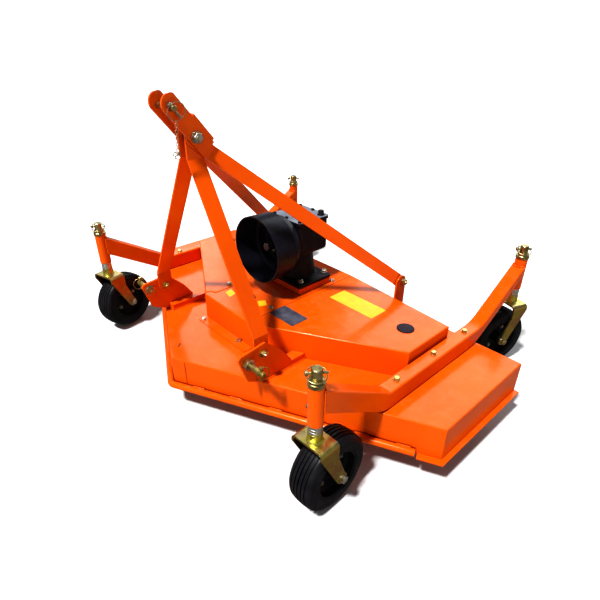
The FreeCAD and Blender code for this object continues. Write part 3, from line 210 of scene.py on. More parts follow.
deck_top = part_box("deck_plate")[1][2]
nose_blunted = 0.0018      # the bend at the nose stops short of where the two walls' planes meet
nose_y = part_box("front_skirt_left")[0][1] - nose_blunted
nose_angle = math.radians(26.1)
along_front = Vector((math.cos(nose_angle), math.sin(nose_angle), 0))
out_of_front = Vector((math.sin(nose_angle), -math.cos(nose_angle), 0))


def finished(name, mesh, body, finish, crease=35.0):
    """Put a mesh on the machine: smooth but for its hard edges, in its finish, on its body."""
    mesh.materials.clear()
    mesh.materials.append(finish)
    mesh.shade_smooth()
    mesh.set_sharp_from_angle(angle=math.radians(crease))
    piece = bpy.data.objects.new(name, mesh)
    bpy.context.scene.collection.objects.link(piece)
    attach(piece, body)
    return piece


def geometry_tree(name, sizes):
    """A Geometry Nodes tree with named size inputs, and its way in and way out."""
    tree = bpy.data.node_groups.new(name, "GeometryNodeTree")
    tree.interface.new_socket("Geometry", in_out="INPUT", socket_type="NodeSocketGeometry")
    tree.interface.new_socket("Geometry", in_out="OUTPUT", socket_type="NodeSocketGeometry")
    for size in sizes:
        tree.interface.new_socket(size, in_out="INPUT", socket_type="NodeSocketFloat")
    tree.interface.new_socket("Finish", in_out="INPUT", socket_type="NodeSocketMaterial")
    return tree, tree.nodes.new("NodeGroupInput").outputs, tree.nodes.new("NodeGroupOutput").inputs


def closing_steps(tree, way_in, way_out, geometry):
    """Make instances real and give them their finish."""
    real = step(tree, "GeometryNodeRealizeInstances", {"Geometry": geometry}).outputs[0]
    done = step(tree, "GeometryNodeSetMaterial", {"Geometry": real, "Material": way_in["Finish"]})
    tree.links.new(done.outputs[0], way_out["Geometry"])


def stand_on(tree, way_in, way_out, points, piece, facing, spin):
    """The piece on each point, facing its way and then spun about one axis of its own."""
    turn = step(tree, "FunctionNodeEulerToRotation",
                {0: step(tree, "ShaderNodeCombineXYZ", spin).outputs[0]}).outputs[0]
    stance = step(tree, "FunctionNodeRotateRotation", {"Rotation": facing, "Rotate By": turn},
                  rotation_space="LOCAL").outputs[0]
    placed = step(tree, "GeometryNodeInstanceOnPoints",
                  {"Points": points, "Instance": piece, "Rotation": stance}).outputs[0]
    closing_steps(tree, way_in, way_out, placed)


def made_by(tree, name, base, body, slot, finish, crease, **sizes):
    """Run a tree on a base mesh and keep what comes out as one plain piece of its body."""
    rough = bpy.data.objects.new(name + "_rough", base)
    bpy.context.scene.collection.objects.link(rough)
    maker = rough.modifiers.new("maker", "NODES")
    maker.node_group = tree
    for socket in tree.interface.items_tree:
        size = socket.name.lower().replace(" ", "_")
        if size in sizes:
            maker[socket.identifier] = float(sizes[size])
        elif socket.name == "Finish":
            maker[socket.identifier] = finish
    rough.update_tag()
    result = bpy.data.meshes.new_from_object(rough.evaluated_get(bpy.context.evaluated_depsgraph_get()))
    bpy.data.objects.remove(rough)
    bpy.data.meshes.remove(base)
    return finished(name, result, body, finish, crease)


def lines(paths):
    """Mesh of open paths, each a list of points."""
    base = bpy.data.meshes.new("paths")
    points, edges = [], []
    for path in paths:
        edges += [(len(points) + k, len(points) + k + 1) for k in range(len(path) - 1)]
        points += [tuple(p) for p in path]
    base.from_pydata(points, edges, [])
    return base


def resampled(tree, mesh, pitch):
    """The base mesh's paths as curves, with a point at every pitch."""
    path = step(tree, "GeometryNodeMeshToCurve", {"Mesh": mesh}).outputs[0]
    return step(tree, "GeometryNodeResampleCurve", {"Curve": path, "Length": pitch}, mode="LENGTH").outputs[0]


def weld_tree():
    """Bead along each path: its width swells and dips at every puddle of the weld."""
    ring_pitch, narrowest, unevenness = 0.0016, 0.78, 0.44
    tree, way_in, way_out = geometry_tree("weld_bead", ("Bead Radius", "Puddle Pitch", "Ripple"))
    path = resampled(tree, way_in["Geometry"], ring_pitch)
    run = tree.nodes.new("GeometryNodeSplineParameter").outputs["Length"]
    turns = times(tree, maths(tree, "DIVIDE", run, way_in["Puddle Pitch"]), math.tau)
    swell = times(tree, maths(tree, "SINE", turns), way_in["Ripple"])
    uneven = step(tree, "ShaderNodeTexNoise", {"Scale": 160.0, "Detail": 1.0}).outputs["Fac"]
    width = plus(tree, plus(tree, swell, narrowest), times(tree, uneven, unevenness))
    section = step(tree, "GeometryNodeCurvePrimitiveCircle",
                   {"Resolution": 9, "Radius": way_in["Bead Radius"]}).outputs["Curve"]
    bead = step(tree, "GeometryNodeCurveToMesh", {"Curve": path, "Profile Curve": section,
                                                  "Scale": width, "Fill Caps": True}).outputs[0]
    closing_steps(tree, way_in, way_out, bead)
    return tree


weld = weld_tree()


def weld_bead(name, paths, radius):
    """Painted weld beads on the deck, one along each path."""
    return made_by(weld, name, lines(paths), "deck", "orange_paint", coat, 70.0,
                   bead_radius=radius, puddle_pitch=0.0052, ripple=0.16)


lap_run, lap_proud = 0.0585, 0.0006
lap_foot = Vector((0, nose_y, 0)) + along_front * lap_run + out_of_front * lap_proud
weld_bead("nose_lap_weld", [[lap_foot + Vector((0, 0, z)) for z in (0.126, 0.175, 0.2225)]], 0.0024)


def bolt_tree():
    """Hexagon bolt heads or nuts on washers, one on each point, each turned its own way."""
    tree, way_in, way_out = geometry_tree("hexagon_fastener", (
        "Across Flats", "Head Height", "Washer Radius", "Washer Thickness", "Thread Radius", "Thread End"))
    straight_part, crown_part, crown_top, thread_tip = 0.82, 0.18, 0.86, 0.85
    corner = maths(tree, "DIVIDE", way_in["Across Flats"], math.sqrt(3))
    straight = times(tree, way_in["Head Height"], straight_part)
    crown = times(tree, way_in["Head Height"], crown_part)
    head_top = plus(tree, way_in["Washer Thickness"], way_in["Head Height"])

    def stood(mesh, height):
        """The mesh, lifted to a height over the face it bears on."""
        up = step(tree, "ShaderNodeCombineXYZ", {"Z": height}).outputs[0]
        return step(tree, "GeometryNodeTransform", {"Geometry": mesh, "Translation": up}).outputs[0]

    washer = step(tree, "GeometryNodeMeshCylinder",
                  {"Vertices": 36, "Radius": way_in["Washer Radius"], "Depth": way_in["Washer Thickness"]})
    flats = step(tree, "GeometryNodeMeshCylinder", {"Vertices": 6, "Radius": corner, "Depth": straight})
    top = step(tree, "GeometryNodeMeshCone", {"Vertices": 6, "Radius Bottom": corner, "Depth": crown,
                                              "Radius Top": times(tree, corner, crown_top)})
    thread = step(tree, "GeometryNodeMeshCone",
                  {"Vertices": 18, "Radius Bottom": way_in["Thread Radius"], "Depth": way_in["Thread End"],
                   "Radius Top": times(tree, way_in["Thread Radius"], thread_tip)})
    whole = tree.nodes.new("GeometryNodeJoinGeometry")
    middle = plus(tree, way_in["Washer Thickness"], times(tree, straight, 0.5))
    for mesh, height in ((washer, times(tree, way_in["Washer Thickness"], 0.5)),
                         (flats, middle),
                         (top, plus(tree, way_in["Washer Thickness"], straight)),
                         (thread, head_top)):
        tree.links.new(stood(mesh.outputs["Mesh"], height), whole.inputs[0])
    facing = step(tree, "GeometryNodeInputNamedAttribute", {"Name": "facing"}, data_type="FLOAT_VECTOR")
    square = step(tree, "FunctionNodeAlignRotationToVector",
                  {"Vector": facing.outputs["Attribute"]}, axis="Z")
    chance = step(tree, "FunctionNodeRandomValue", {3: math.tau, "Seed": 11}, data_type="FLOAT").outputs[1]
    stand_on(tree, way_in, way_out, way_in["Geometry"], whole.outputs[0], square.outputs[0], {"Z": chance})
    return tree


fastener = bolt_tree()


def bright_zinc():
    """Clear passivated zinc plate: silvery with a straw tint, dulled in patches."""
    finish, tree, shader, place = finish_tree("bright_zinc")
    edges = surface(tree, shader, 0.0006, speckle(tree, place, 900.0, 2.0), 0.12, 0.0002)
    colour = graded(tree, speckle(tree, place, 70.0, 4.0),
                    (0.30, (0.32, 0.30, 0.24)), (0.70, (0.70, 0.67, 0.56)))
    # painted highlight: the plate is paler along every edge
    colour = laid_over(tree, edges, colour, (0.70, 0.68, 0.60))
    return closed(finish, tree, shader, colour, patchy(tree, place, 110.0, 0.24, 0.48), metal=1.0)


zinc = bright_zinc()
up, down = Vector((0, 0, 1)), Vector((0, 0, -1))
right, left = Vector((1, 0, 0)), Vector((-1, 0, 0))
both = (-1, 1)          # left side, right side


def bolts(name, spots, body, flats, head, washer, washer_thick, thread=0.004, thread_end=0.0005,
          finish=zinc, slot="machined_steel"):
    """Bolt heads or nuts on one body; a spot is where it bears and which way it faces."""
    base = bpy.data.meshes.new("spots")
    base.from_pydata([tuple(at) for at, _ in spots], [], [])
    facing = base.attributes.new("facing", "FLOAT_VECTOR", "POINT")
    facing.data.foreach_set("vector", [c for _, way in spots for c in way])
    return made_by(fastener, name, base, body, slot, finish, 25.0, across_flats=flats, head_height=head,
                   washer_radius=washer, washer_thickness=washer_thick,
                   thread_radius=thread, thread_end=thread_end)


skirt_bolt_x, skirt_bolt_z = 0.5014, 0.1758
skirt_bolt_y = nose_y + skirt_bolt_x * math.tan(nose_angle)
sheet_bolt = dict(flats=0.017, head=0.0064, washer=0.0105, washer_thick=0.0018)
bolts("skirt_bolts", [(Vector((side * skirt_bolt_x, skirt_bolt_y, skirt_bolt_z)),
                       Vector((side * out_of_front.x, out_of_front.y, 0))) for side in both],
      "deck", **sheet_bolt)


def plain(name, shape, body, finish):
    """A bmesh made into a piece, its faces turned outwards."""
    same_spot = 0.000002
    bmesh.ops.remove_doubles(shape, verts=shape.verts, dist=same_spot)
    bmesh.ops.recalc_face_normals(shape, faces=shape.faces)
    mesh = bpy.data.meshes.new(name)
    shape.to_mesh(mesh)
    shape.free()
    return finished(name, mesh, body, finish)


def sheet_cut(shape, outline, foot_z, top_z):
    """A flat piece with an outline in plan, added to the shape."""
    low = [shape.verts.new((x, y, foot_z)) for x, y in outline]
    high = [shape.verts.new((x, y, top_z)) for x, y in outline]
    shape.faces.new(low)
    shape.faces.new(high)
    for k in range(len(outline)):
        n = (k + 1) % len(outline)
        shape.faces.new((low[k], low[n], high[n], high[k]))


def rounded(corners, radius):
    """Outline in plan with its corners rounded."""
    outline, steps = [], 6
    count = len(corners)
    for k, corner in enumerate(corners):
        here = Vector(corner)
        before = (Vector(corners[k - 1]) - here).normalized()
        after = (Vector(corners[(k + 1) % count]) - here).normalized()
        half = before.angle(after) / 2
        centre = here + (before + after).normalized() * (radius / math.sin(half))
        start = here + before * (radius / math.tan(half)) - centre
        end = here + after * (radius / math.tan(half)) - centre
        for s in range(steps + 1):
            swung = start.lerp(end, s / steps).normalized() * radius
            outline.append(tuple(centre + swung))
    return outline


def slot_black():
    """A near-black sheet of painted shade standing in for the inside of a slot, speckled in tone."""
    finish, tree, shader, place = finish_tree("slot_black")
    colour = graded(tree, speckle(tree, place, 400.0, 4.0),
                    (0.35, (0.012, 0.006, 0.004)), (0.75, (0.05, 0.02, 0.012)))
    return closed(finish, tree, shader, colour, patchy(tree, place, 300.0, 0.5, 0.8, 3.0))


def strip(start, end, width):
    """Corners of a straight strip in plan."""
    a, b = Vector(start), Vector(end)
    side = (b - a).normalized().orthogonal() * width / 2
    return [a + side, b + side, b - side, a - side]


# painted shade: slots are not cut; a near-black sheet stands where their insides would lie in shadow
dark = slot_black()


def slot_in(name, start, end, width, corner_r, face_z):
    """A sheet of painted shade for a slot's inside, sunk in the face at face_z and a hair over it."""
    sunk, proud = 0.001, 0.0002
    slot = bmesh.new()
    sheet_cut(slot, rounded(strip(start, end, width), corner_r), face_z - sunk, face_z + proud)
    plain(name, slot, "deck", dark)


slot_in("nose_slot", (-0.0420, -0.6010), (-0.0580, -0.5800), 0.0050, 0.0024, deck_top)

# ---- Skid bar ----
# 26 mm round bar bent round the nose and stitch-welded along the foot of both front skirts.

dress(["skid_bar"], coat)
skid_weld_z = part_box("skid_bar")[1][2] - 0.0035
skid_weld_out, half_stitch = 0.0042, 0.024
stitches = []
for side in both:
    for start in (0.09, 0.25, 0.41, 0.57, 0.73, 0.87):
        stitch = [Vector((0, nose_y, 0)) + along_front * run + out_of_front * skid_weld_out
                  for run in (start, start + half_stitch, start + 2 * half_stitch)]
        stitches.append([Vector((side * spot.x, spot.y, skid_weld_z)) for spot in stitch])
weld_bead("skid_bar_welds", stitches, 0.0036)

# ---- Belt cover ----
# Three folded 3 mm lids over the belt and pulleys. The side lids butt against the middle one with a
# joggled seam, and a foot on the middle one is bolted to the deck behind the nose.

dress(["belt_cover_centre", "belt_cover_left", "belt_cover_right"], coat)
cover_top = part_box("belt_cover_centre")[1][2]
lid_sheet = 0.003
foot_top = deck_top + lid_sheet
bolts("cover_bolts", [(Vector(spot), up) for spot in (
    (-0.145, -0.416, foot_top), (0.089, -0.403, foot_top),
    (0.1158, -0.2568, cover_top), (0.1202, 0.0939, cover_top),
    (-0.1202, 0.0939, cover_top), (-0.1648, -0.2633, cover_top))], "deck", **sheet_bolt)
slot_in("cover_slot", (-0.0178, -0.2415), (0.0147, -0.2562), 0.0070, 0.0034, cover_top)


def sticker_film(name, low, high):
    """Plain film or enamel with nothing on it: one colour, faded in patches, darker at its rim."""
    finish, tree, shader, place = finish_tree(name)
    edges = surface(tree, shader, 0.0004, speckle(tree, place, 240.0, 3.0), 0.08, 0.0002)
    colour = graded(tree, speckle(tree, place, 30.0, 5.0), (0.30, low), (0.70, high))
    colour = laid_over(tree, times(tree, edges, 0.5), colour, tuple(c * 0.55 for c in low))
    return closed(finish, tree, shader, colour, patchy(tree, place, 90.0, 0.30, 0.46, 4.0))


yellow = sticker_film("yellow_film", (0.62, 0.375, 0.0075), (0.75, 0.485, 0.0120))
film = 0.0003
stickers = bmesh.new()
for corners in (((-0.1114, -0.3189), (-0.1213, -0.2835), (-0.0758, -0.2926), (-0.0660, -0.3280)),
                ((0.0385, -0.2640), (0.0530, -0.2345), (0.0900, -0.2560), (0.0750, -0.2860)),
                ((0.214, -0.020), (0.214, 0.070), (0.440, 0.070), (0.440, -0.020))):
    sheet_cut(stickers, rounded(corners, 0.003), cover_top, cover_top + film)
plain("yellow_stickers", stickers, "deck", yellow)

blank = sticker_film("plate_enamel", (0.050, 0.050, 0.068), (0.120, 0.118, 0.150))
plate_sheet = 0.0008
plate = bmesh.new()
sheet_cut(plate, rounded(((0.1405, -0.2850), (0.1405, -0.2034), (0.2755, -0.2034), (0.2755, -0.2850)), 0.004),
          cover_top, cover_top + plate_sheet)
plain("blank_data_plate", plate, "deck", blank)


def moulded_black(name, low, high, gloss, grain):
    """Black moulded plastic with a fine grain, greyed in patches, and paler along its edges as a painted
    highlight.
    """
    finish, tree, shader, place = finish_tree(name)
    edges = surface(tree, shader, 0.0008, speckle(tree, place, grain, 3.0), 0.16, 0.0003)
    colour = graded(tree, speckle(tree, place, 12.0, 5.0, 0.65), (0.32, low), (0.72, high))
    # painted highlight: the plastic is paler along every edge
    colour = laid_over(tree, times(tree, edges, 0.5), colour, tuple(c * 2.2 for c in high))
    return closed(finish, tree, shader, colour, patchy(tree, place, 50.0, gloss, gloss + 0.14), mirror=0.20)


dress(["access_caps"],
      moulded_black("cap_plastic", (0.014, 0.009, 0.017), (0.030, 0.021, 0.033), gloss=0.42, grain=800.0))

# ---- Side rails and caster posts ----
# Steel box section, bent near both ends, coped and welded to an upright tube at each. Three bolts a
# side hold the rails down through the deck; they are sprayed in the deck's orange powder.

dress(["side_rail_left", "side_rail_right", "caster_posts"], coat)
rail_low, rail_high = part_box("side_rail_right")
post_x = (rail_low[0] + rail_high[0]) / 2
post_front_y, post_rear_y = -0.58217, 0.60375
post_r = 0.024
rail_top = 0.299


def weathered(tree, place, colour):
    """Dull grey-brown plating on what stands out above the posts, where rain and hands reach it."""
    height = above_ground(tree, place)
    dull = graded(tree, speckle(tree, place, 60.0, 5.0), (0.30, (0.20, 0.165, 0.075)),
                  (0.52, (0.46, 0.40, 0.20)), (0.72, (0.66, 0.62, 0.46)))
    out_in_rain = graded(tree, height, (0.470, 0.0), (0.480, 0.85))
    return laid_over(tree, out_in_rain, colour, dull)


def yellow_chromate():
    """Zinc plate passivated yellow, its tone drifting between olive, gold and brown; up-facing faces are
    painted paler gold as a painted reflection and walls darker as painted shade.
    """
    finish, tree, shader, place = finish_tree("yellow_chromate")
    edges = surface(tree, shader, 0.0008, speckle(tree, place, 520.0, 3.0), 0.12, 0.0003)
    drift = speckle(tree, place, 11.0, 4.0, 0.6, 1.4)
    # painted shade: walls take these darker olive-brown tones, up-facing faces the paler gold below as
    # painted reflection
    shaded_walls = graded(tree, drift, (0.30, (0.34, 0.33, 0.085)), (0.45, (0.52, 0.38, 0.105)),
                   (0.58, (0.44, 0.255, 0.110)), (0.70, (0.40, 0.40, 0.150)))
    lit_tops = graded(tree, drift, (0.30, (0.50, 0.54, 0.20)), (0.45, (0.72, 0.62, 0.22)),
                  (0.60, (0.62, 0.55, 0.30)))
    # painted light: faces that look up take the paler gold, walls the darker tones
    colour = weathered(tree, place, laid_over(tree, facing_up(tree), shaded_walls, lit_tops))
    # painted highlight: the plate is paler along every edge
    colour = laid_over(tree, times(tree, edges, 0.7), colour, (0.72, 0.66, 0.46))
    return closed(finish, tree, shader, colour, patchy(tree, place, 45.0, 0.24, 0.50, 6.0, 0.7), metal=1.0)


chromate = yellow_chromate()
rail_bolt_x = 0.7035
bolts("rail_bolts", [(Vector((side * rail_bolt_x, y, rail_top)), up)
                     for side in both for y in (-0.20, 0.015, 0.225)],
      "deck", flats=0.019, head=0.0075, washer=0.0125, washer_thick=0.0022, thread=0.005, finish=chromate)
# which way an arm leaves its post: the post's y, then the arm's foot, top and slope where they meet
arm_ends = {1: (post_front_y, 0.4016, 0.4837, 31.5), -1: (post_rear_y, 0.4173, 0.4685, 30.8)}
arm_cut, arm_side, side_bead = 0.012, 0.0232, 0.0112
proud, clear_by = 0.0008, 0.001
wide = math.asin(math.sqrt(post_r ** 2 - arm_cut ** 2) / post_r)
beads = []
for side in both:
    for back, (y, low_z, high_z, slope) in arm_ends.items():
        fall = math.tan(math.radians(slope))
        for run_z in (high_z + clear_by, low_z - clear_by):
            arc = []
            for k in range(-8, 9):
                turn = wide * k / 8
                ahead = post_r * math.cos(turn)
                arc.append(Vector((side * post_x + (post_r + proud) * math.sin(turn),
                                   y + back * (ahead + proud), run_z - fall * (ahead - arm_cut))))
            beads.append(arc)
        for edge in (-arm_side, arm_side):
            beads.append([Vector((side * post_x + edge, y + back * side_bead, z))
                          for z in (low_z, (low_z + high_z) / 2, high_z)])
weld_bead("post_welds", beads, 0.0034)

# ---- Casters ----
# Each fork is plate bent into a U under a turned stem, zinc plated and passivated yellow. Loose rings
# set the cutting height; a linch pin through the stem's top keeps it in its post.

corners = ("front_left", "front_right", "rear_left", "rear_right")
posts = {}
for corner in corners:
    post_y = post_front_y if "front" in corner else post_rear_y
    posts[corner] = Vector((post_x * (-1 if "left" in corner else 1), post_y, 0))
heading = {"front_left": 195.0, "front_right": 182.0, "rear_left": 12.0, "rear_right": -20.0}
dress([f"caster_fork_{corner}" for corner in corners], chromate)
post_foot, collar_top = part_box("caster_posts")[0][2], 0.328


def ring_plate():
    """Gold collar and keeper, with newer silvery washers between."""
    finish, tree, shader, place = finish_tree("ring_plate")
    edges = surface(tree, shader, 0.0006, speckle(tree, place, 520.0, 3.0), 0.12, 0.0003)
    gold = graded(tree, speckle(tree, place, 30.0, 4.0),
                  (0.30, (0.46, 0.45, 0.12)), (0.70, (0.78, 0.66, 0.18)))
    silver = graded(tree, speckle(tree, place, 60.0, 4.0),
                    (0.30, (0.55, 0.55, 0.50)), (0.70, (0.85, 0.84, 0.79)))
    height = above_ground(tree, place)
    washers_here = graded(tree, height, (collar_top, 0.0), (collar_top + 0.001, 1.0),
                          (post_foot, 1.0), (post_foot + 0.002, 0.0))
    colour = laid_over(tree, washers_here, weathered(tree, place, gold), silver)
    # painted highlight: the plate is paler along every edge
    colour = laid_over(tree, times(tree, edges, 0.6), colour, (0.72, 0.68, 0.54))
    return closed(finish, tree, shader, colour, patchy(tree, place, 90.0, 0.24, 0.44), metal=1.0)


dress([f"caster_rings_{corner}" for corner in corners], ring_plate())


def spun(shape, profile, start, axis, sides=32):
    """Turned part added to the shape: profile is (distance along the axis, radius) from end to end."""
    stand = Vector(axis).to_track_quat("Z", "Y").to_matrix()
    rings = []
    for run, radius in profile:
        turns = [math.tau * k / sides for k in range(sides)] if radius else [0.0]
        rings.append([shape.verts.new(Vector(start) + stand @ Vector((
            radius * math.cos(turn), radius * math.sin(turn), run))) for turn in turns])
    for near, far in zip(rings, rings[1:]):
        for k in range(sides):
            n = (k + 1) % sides
            facet = [near[k % len(near)], near[n % len(near)], far[n % len(far)], far[k % len(far)]]
            shape.faces.new(list(dict.fromkeys(facet)))


def wire(shape, points, radius, sides=10):
    """Round wire through points and back to the first, added to the shape."""
    rings = []
    side = None
    for behind, point, ahead in zip(points[-1:] + points, points, points[1:] + points[:1]):
        tangent = (ahead - behind).normalized()
        side = (tangent.orthogonal() if side is None else side - tangent * side.dot(tangent)).normalized()
        other = tangent.cross(side)
        turns = [math.tau * s / sides for s in range(sides)]
        rings.append([shape.verts.new(point + (side * math.cos(turn) + other * math.sin(turn)) * radius)
                      for turn in turns])
    for near, far in zip(rings, rings[1:] + rings[:1]):
        for s in range(sides):
            n = (s + 1) % sides
            shape.faces.new((near[s], near[n], far[n], far[s]))


def linch_pin(shape, centre, pin_way, ring_normal, reach, ring_r, pin_r=0.0042, sag=(0, 0, 0),
              lean=14.0, wire_r=0.0014):
    """Linch pin through a hole at centre, with its spring ring closed round what it keeps."""
    centre, along = Vector(centre), Vector(pin_way).normalized()
    across = Vector(ring_normal).normalized().cross(along).normalized()
    flat = Matrix.Rotation(math.radians(lean), 3, along) @ across
    length, head_r = reach * 2, pin_r * 1.9
    spun(shape, [(0, 0), (0, pin_r * 1.5), (0.0022, head_r), (0.009, head_r), (0.0105, pin_r),
                 (length - 0.009, pin_r), (length - 0.003, pin_r * 0.7), (length, pin_r * 0.3), (length, 0)],
         centre - along * reach, along, 20)
    hub = centre + Vector(sag) + flat * 0.001
    half = reach - 0.0045          # the ring is sprung in a little short of the pin's ends
    turns = [math.tau * k / 40 for k in range(40)]
    wire(shape, [hub + along * (half * math.cos(turn)) + flat * (ring_r * math.sin(turn)) for turn in turns],
         wire_r)


stem_pin_z = 0.5355
for corner, turn in zip(corners, (44.5, 52.0, 38.0, 47.0)):
    pins = bmesh.new()
    way = Vector((math.cos(math.radians(turn)), math.sin(math.radians(turn)), 0))
    linch_pin(pins, posts[corner] + Vector((0, 0, stem_pin_z)), way, up, reach=0.0330, ring_r=0.0295,
              sag=(0, 0, -0.008), lean=16.0, wire_r=0.0018)
    plain(f"stem_linch_pin_{corner}", pins, f"caster_{corner}", chromate)


def on_caster(corner, across, back, height):
    """A spot by its distance to the caster's side, behind its stem and over the ground."""
    turn = math.radians(heading[corner])
    side = Vector((math.cos(turn), math.sin(turn), 0))
    behind = Vector((math.sin(turn), -math.cos(turn), 0))
    return posts[corner] + side * across + behind * back + Vector((0, 0, height)), side


axle_z = 0.133
trail = 0.060
fork_outside = 0.062
for corner in corners:
    spots = []
    for way in (-1, 1):
        spot, side = on_caster(corner, way * fork_outside, trail, axle_z)
        spots.append((spot, side * way))
    bolts(f"axle_bolts_{corner}", spots, f"caster_{corner}", flats=0.0245, head=0.0105,
          washer=0.0155, washer_thick=0.0018, thread=0.0078, thread_end=0.0012)

# ---- Wheels ----
# Solid rubber tyres, ribbed round the tread, on split steel rims. The rims are brushed with black
# enamel, and four bolts hold the two halves of each together.


def black_rubber(corner):
    """Tyre rubber: moulding rings on the walls, a bloom on the tread and dust in the low places."""
    finish, tree, shader, place = finish_tree(f"black_rubber_{corner}")
    centre, _ = on_caster(corner, 0, trail, axle_z)
    turn = math.radians(heading[corner])
    moved = step(tree, "ShaderNodeMapping", {"Vector": place, "Location": tuple(-centre)}).outputs[0]
    own = step(tree, "ShaderNodeMapping", {"Vector": moved, "Rotation": (0, 0, -turn)}).outputs[0]
    parts = step(tree, "ShaderNodeSeparateXYZ", {"Vector": own}).outputs
    disc = step(tree, "ShaderNodeCombineXYZ", {"X": parts["Y"], "Y": parts["Z"]}).outputs[0]
    out = step(tree, "ShaderNodeVectorMath", {0: disc}, operation="LENGTH").outputs["Value"]
    wall = graded(tree, maths(tree, "ABSOLUTE", parts["X"]), (0.040, 0.0), (0.045, 1.0))
    rings = graded(tree, maths(tree, "SINE", times(tree, out, 900.0)), (0.55, 0.0), (0.85, 1.0))
    band = graded(tree, out, (0.094, 0.0), (0.097, 1.0), (0.108, 1.0), (0.111, 0.0))
    lines_on_wall = times(tree, times(tree, rings, band), wall)
    height = plus(tree, times(tree, speckle(tree, place, 420.0, 4.0), 0.35), lines_on_wall)
    edges = surface(tree, shader, 0.0010, height, 0.35, 0.0005)
    colour = graded(tree, speckle(tree, place, 16.0, 6.0, 0.7),
                    (0.35, (0.0085, 0.0082, 0.0105)), (0.75, (0.0200, 0.0190, 0.0225)))
    tread = graded(tree, out, (0.118, 0.0), (0.131, 1.0))
    dust = times(tree, tread, graded(tree, speckle(tree, place, 38.0, 8.0, 0.75), (0.45, 0.0), (0.80, 0.30)))
    colour = laid_over(tree, dust, colour, (0.045, 0.040, 0.034))
    # painted highlight: the rubber is paler along every edge
    colour = laid_over(tree, times(tree, edges, 0.4), colour, (0.030, 0.029, 0.031))
    return closed(finish, tree, shader, colour, patchy(tree, place, 60.0, 0.30, 0.55), mirror=0.18)


def rim_enamel():
    """Black brushed-on enamel, thin on edges where grey steel shows through."""
    finish, tree, shader, place = finish_tree("rim_enamel")
    edges = surface(tree, shader, 0.0010, speckle(tree, place, 260.0, 3.0), 0.14, 0.0004)
    colour = graded(tree, speckle(tree, place, 18.0, 6.0, 0.7),
                    (0.35, (0.0075, 0.0075, 0.0090)), (0.78, (0.0180, 0.0180, 0.0210)))
    worn = times(tree, edges, graded(tree, speckle(tree, place, 70.0, 6.0), (0.48, 0.0), (0.60, 0.5)))
    colour = laid_over(tree, worn, colour, (0.16, 0.16, 0.16))
    return closed(finish, tree, shader, colour, patchy(tree, place, 64.0, 0.30, 0.50), mirror=0.20)


rim_paint = rim_enamel()
rim_face, bolt_circle, first_bolt = 0.009, 0.050, -123.0
for corner in corners:
    dress([f"tyre_{corner}"], black_rubber(corner))
    dress([f"rim_{corner}"], rim_paint)
    spots = []
    for way in (-1, 1):
        centre, side = on_caster(corner, way * rim_face, trail, axle_z)
        ahead = up.cross(side)
        for k in range(4):
            turn = math.radians(first_bolt + 90.0 * k)
            spots.append((centre + (ahead * math.cos(turn) + up * math.sin(turn)) * bolt_circle, side * way))
    bolts(f"rim_bolts_{corner}", spots, f"wheel_{corner}", flats=0.0165, head=0.0075,
          washer=0.0098, washer_thick=0.0016, thread=0.0048, thread_end=0.003)

# ---- Three-point hitch ----
# Plate brackets welded on the deck carry the lower-link pins. Flat-bar legs lean in to the apex, and
# flat-bar braces run back from it to lugs behind the belt cover.

dress(["hitch_bracket_left", "hitch_bracket_right", "a_frame_leg_left", "a_frame_leg_right",
       "brace_left", "brace_right", "brace_lugs", "top_link_clevis"], coat)
dress(["hitch_pin_left", "hitch_pin_right", "top_link_pin", "apex_bolt"], chromate)
plate_out, plate_in, leg_in = 0.345, 0.335, 0.327
pin_y, pin_z = -0.548716, 0.343
on_deck, on_lug_foot = deck_top + 0.001, deck_top + 0.0088
foot_in, foot_front, lug_plate = 0.302, -0.4718, 0.3898
lug_x, lug_y = (0.380, 0.428), (0.1972, 0.2590)
lug_corners = [(lug_x[i], lug_y[j]) for i, j in ((0, 0), (1, 0), (1, 1), (0, 1))]
foot_beads = []
for side in both:
    foot_beads += [[Vector((side * (plate_out + 0.001), y, on_deck)) for y in (-0.4785, -0.38, -0.2835)],
                   [Vector((side * foot_in, y, on_deck)) for y in (-0.4695, -0.39, -0.3075)],
                   [Vector((side * x, foot_front, on_deck)) for x in (0.304, 0.319, 0.334)],
                   [Vector((side * x, y, on_deck)) for x, y in lug_corners],
                   [Vector((side * lug_plate, y, on_lug_foot)) for y in (0.200, 0.228, 0.256)]]
weld_bead("hitch_welds", foot_beads, 0.0034)

def flat_washer(shape, hole, rim, bevelled, spot, way):
    """Turned washer 3 mm thick, bevelled at the rim."""
    spun(shape, [(0, hole), (0, rim), (0.0025, rim), (0.003, bevelled), (0.003, hole), (0, hole)], spot, way)


washers = bmesh.new()
shoulder_x = 0.3630
for side in both:
    flat_washer(washers, 0.0125, 0.0225, 0.0220, (side * plate_in, pin_y, pin_z), left * side)
    flat_washer(washers, 0.0118, 0.0205, 0.0200, (side * shoulder_x, pin_y, pin_z), right * side)
plain("hitch_pin_washers", washers, "deck", zinc)
hitch_bolt = dict(flats=0.024, head=0.0115, washer=0.0160, washer_thick=0.0028, thread=0.0078,
                  thread_end=0.004, finish=chromate)
for name, hole, seats in (("leg_bolts", (-0.478716, 0.347), ((plate_out, right), (leg_in, left))),
                          ("lug_bolts", (0.24011, 0.390), ((0.389, right), (0.373, left)))):
    bolts(name, [(Vector((side * x, *hole)), way * side) for side in both for x, way in seats],
          "deck", **hitch_bolt)
lower_pins = bmesh.new()
pin_hole_x = 0.424
for side, hangs in ((-1, -0.009), (1, 0.004)):
    linch_pin(lower_pins, (side * pin_hole_x, pin_y, pin_z), down, right, reach=0.029, ring_r=0.024,
              sag=(0, hangs, -0.001))
plain("lower_linch_pins", lower_pins, "deck", chromate)

# ---- Top link ----
# The floating clevis swings on the apex bolt; its drawbar pin is kept by a linch pin, with a spare
# on a short chain.

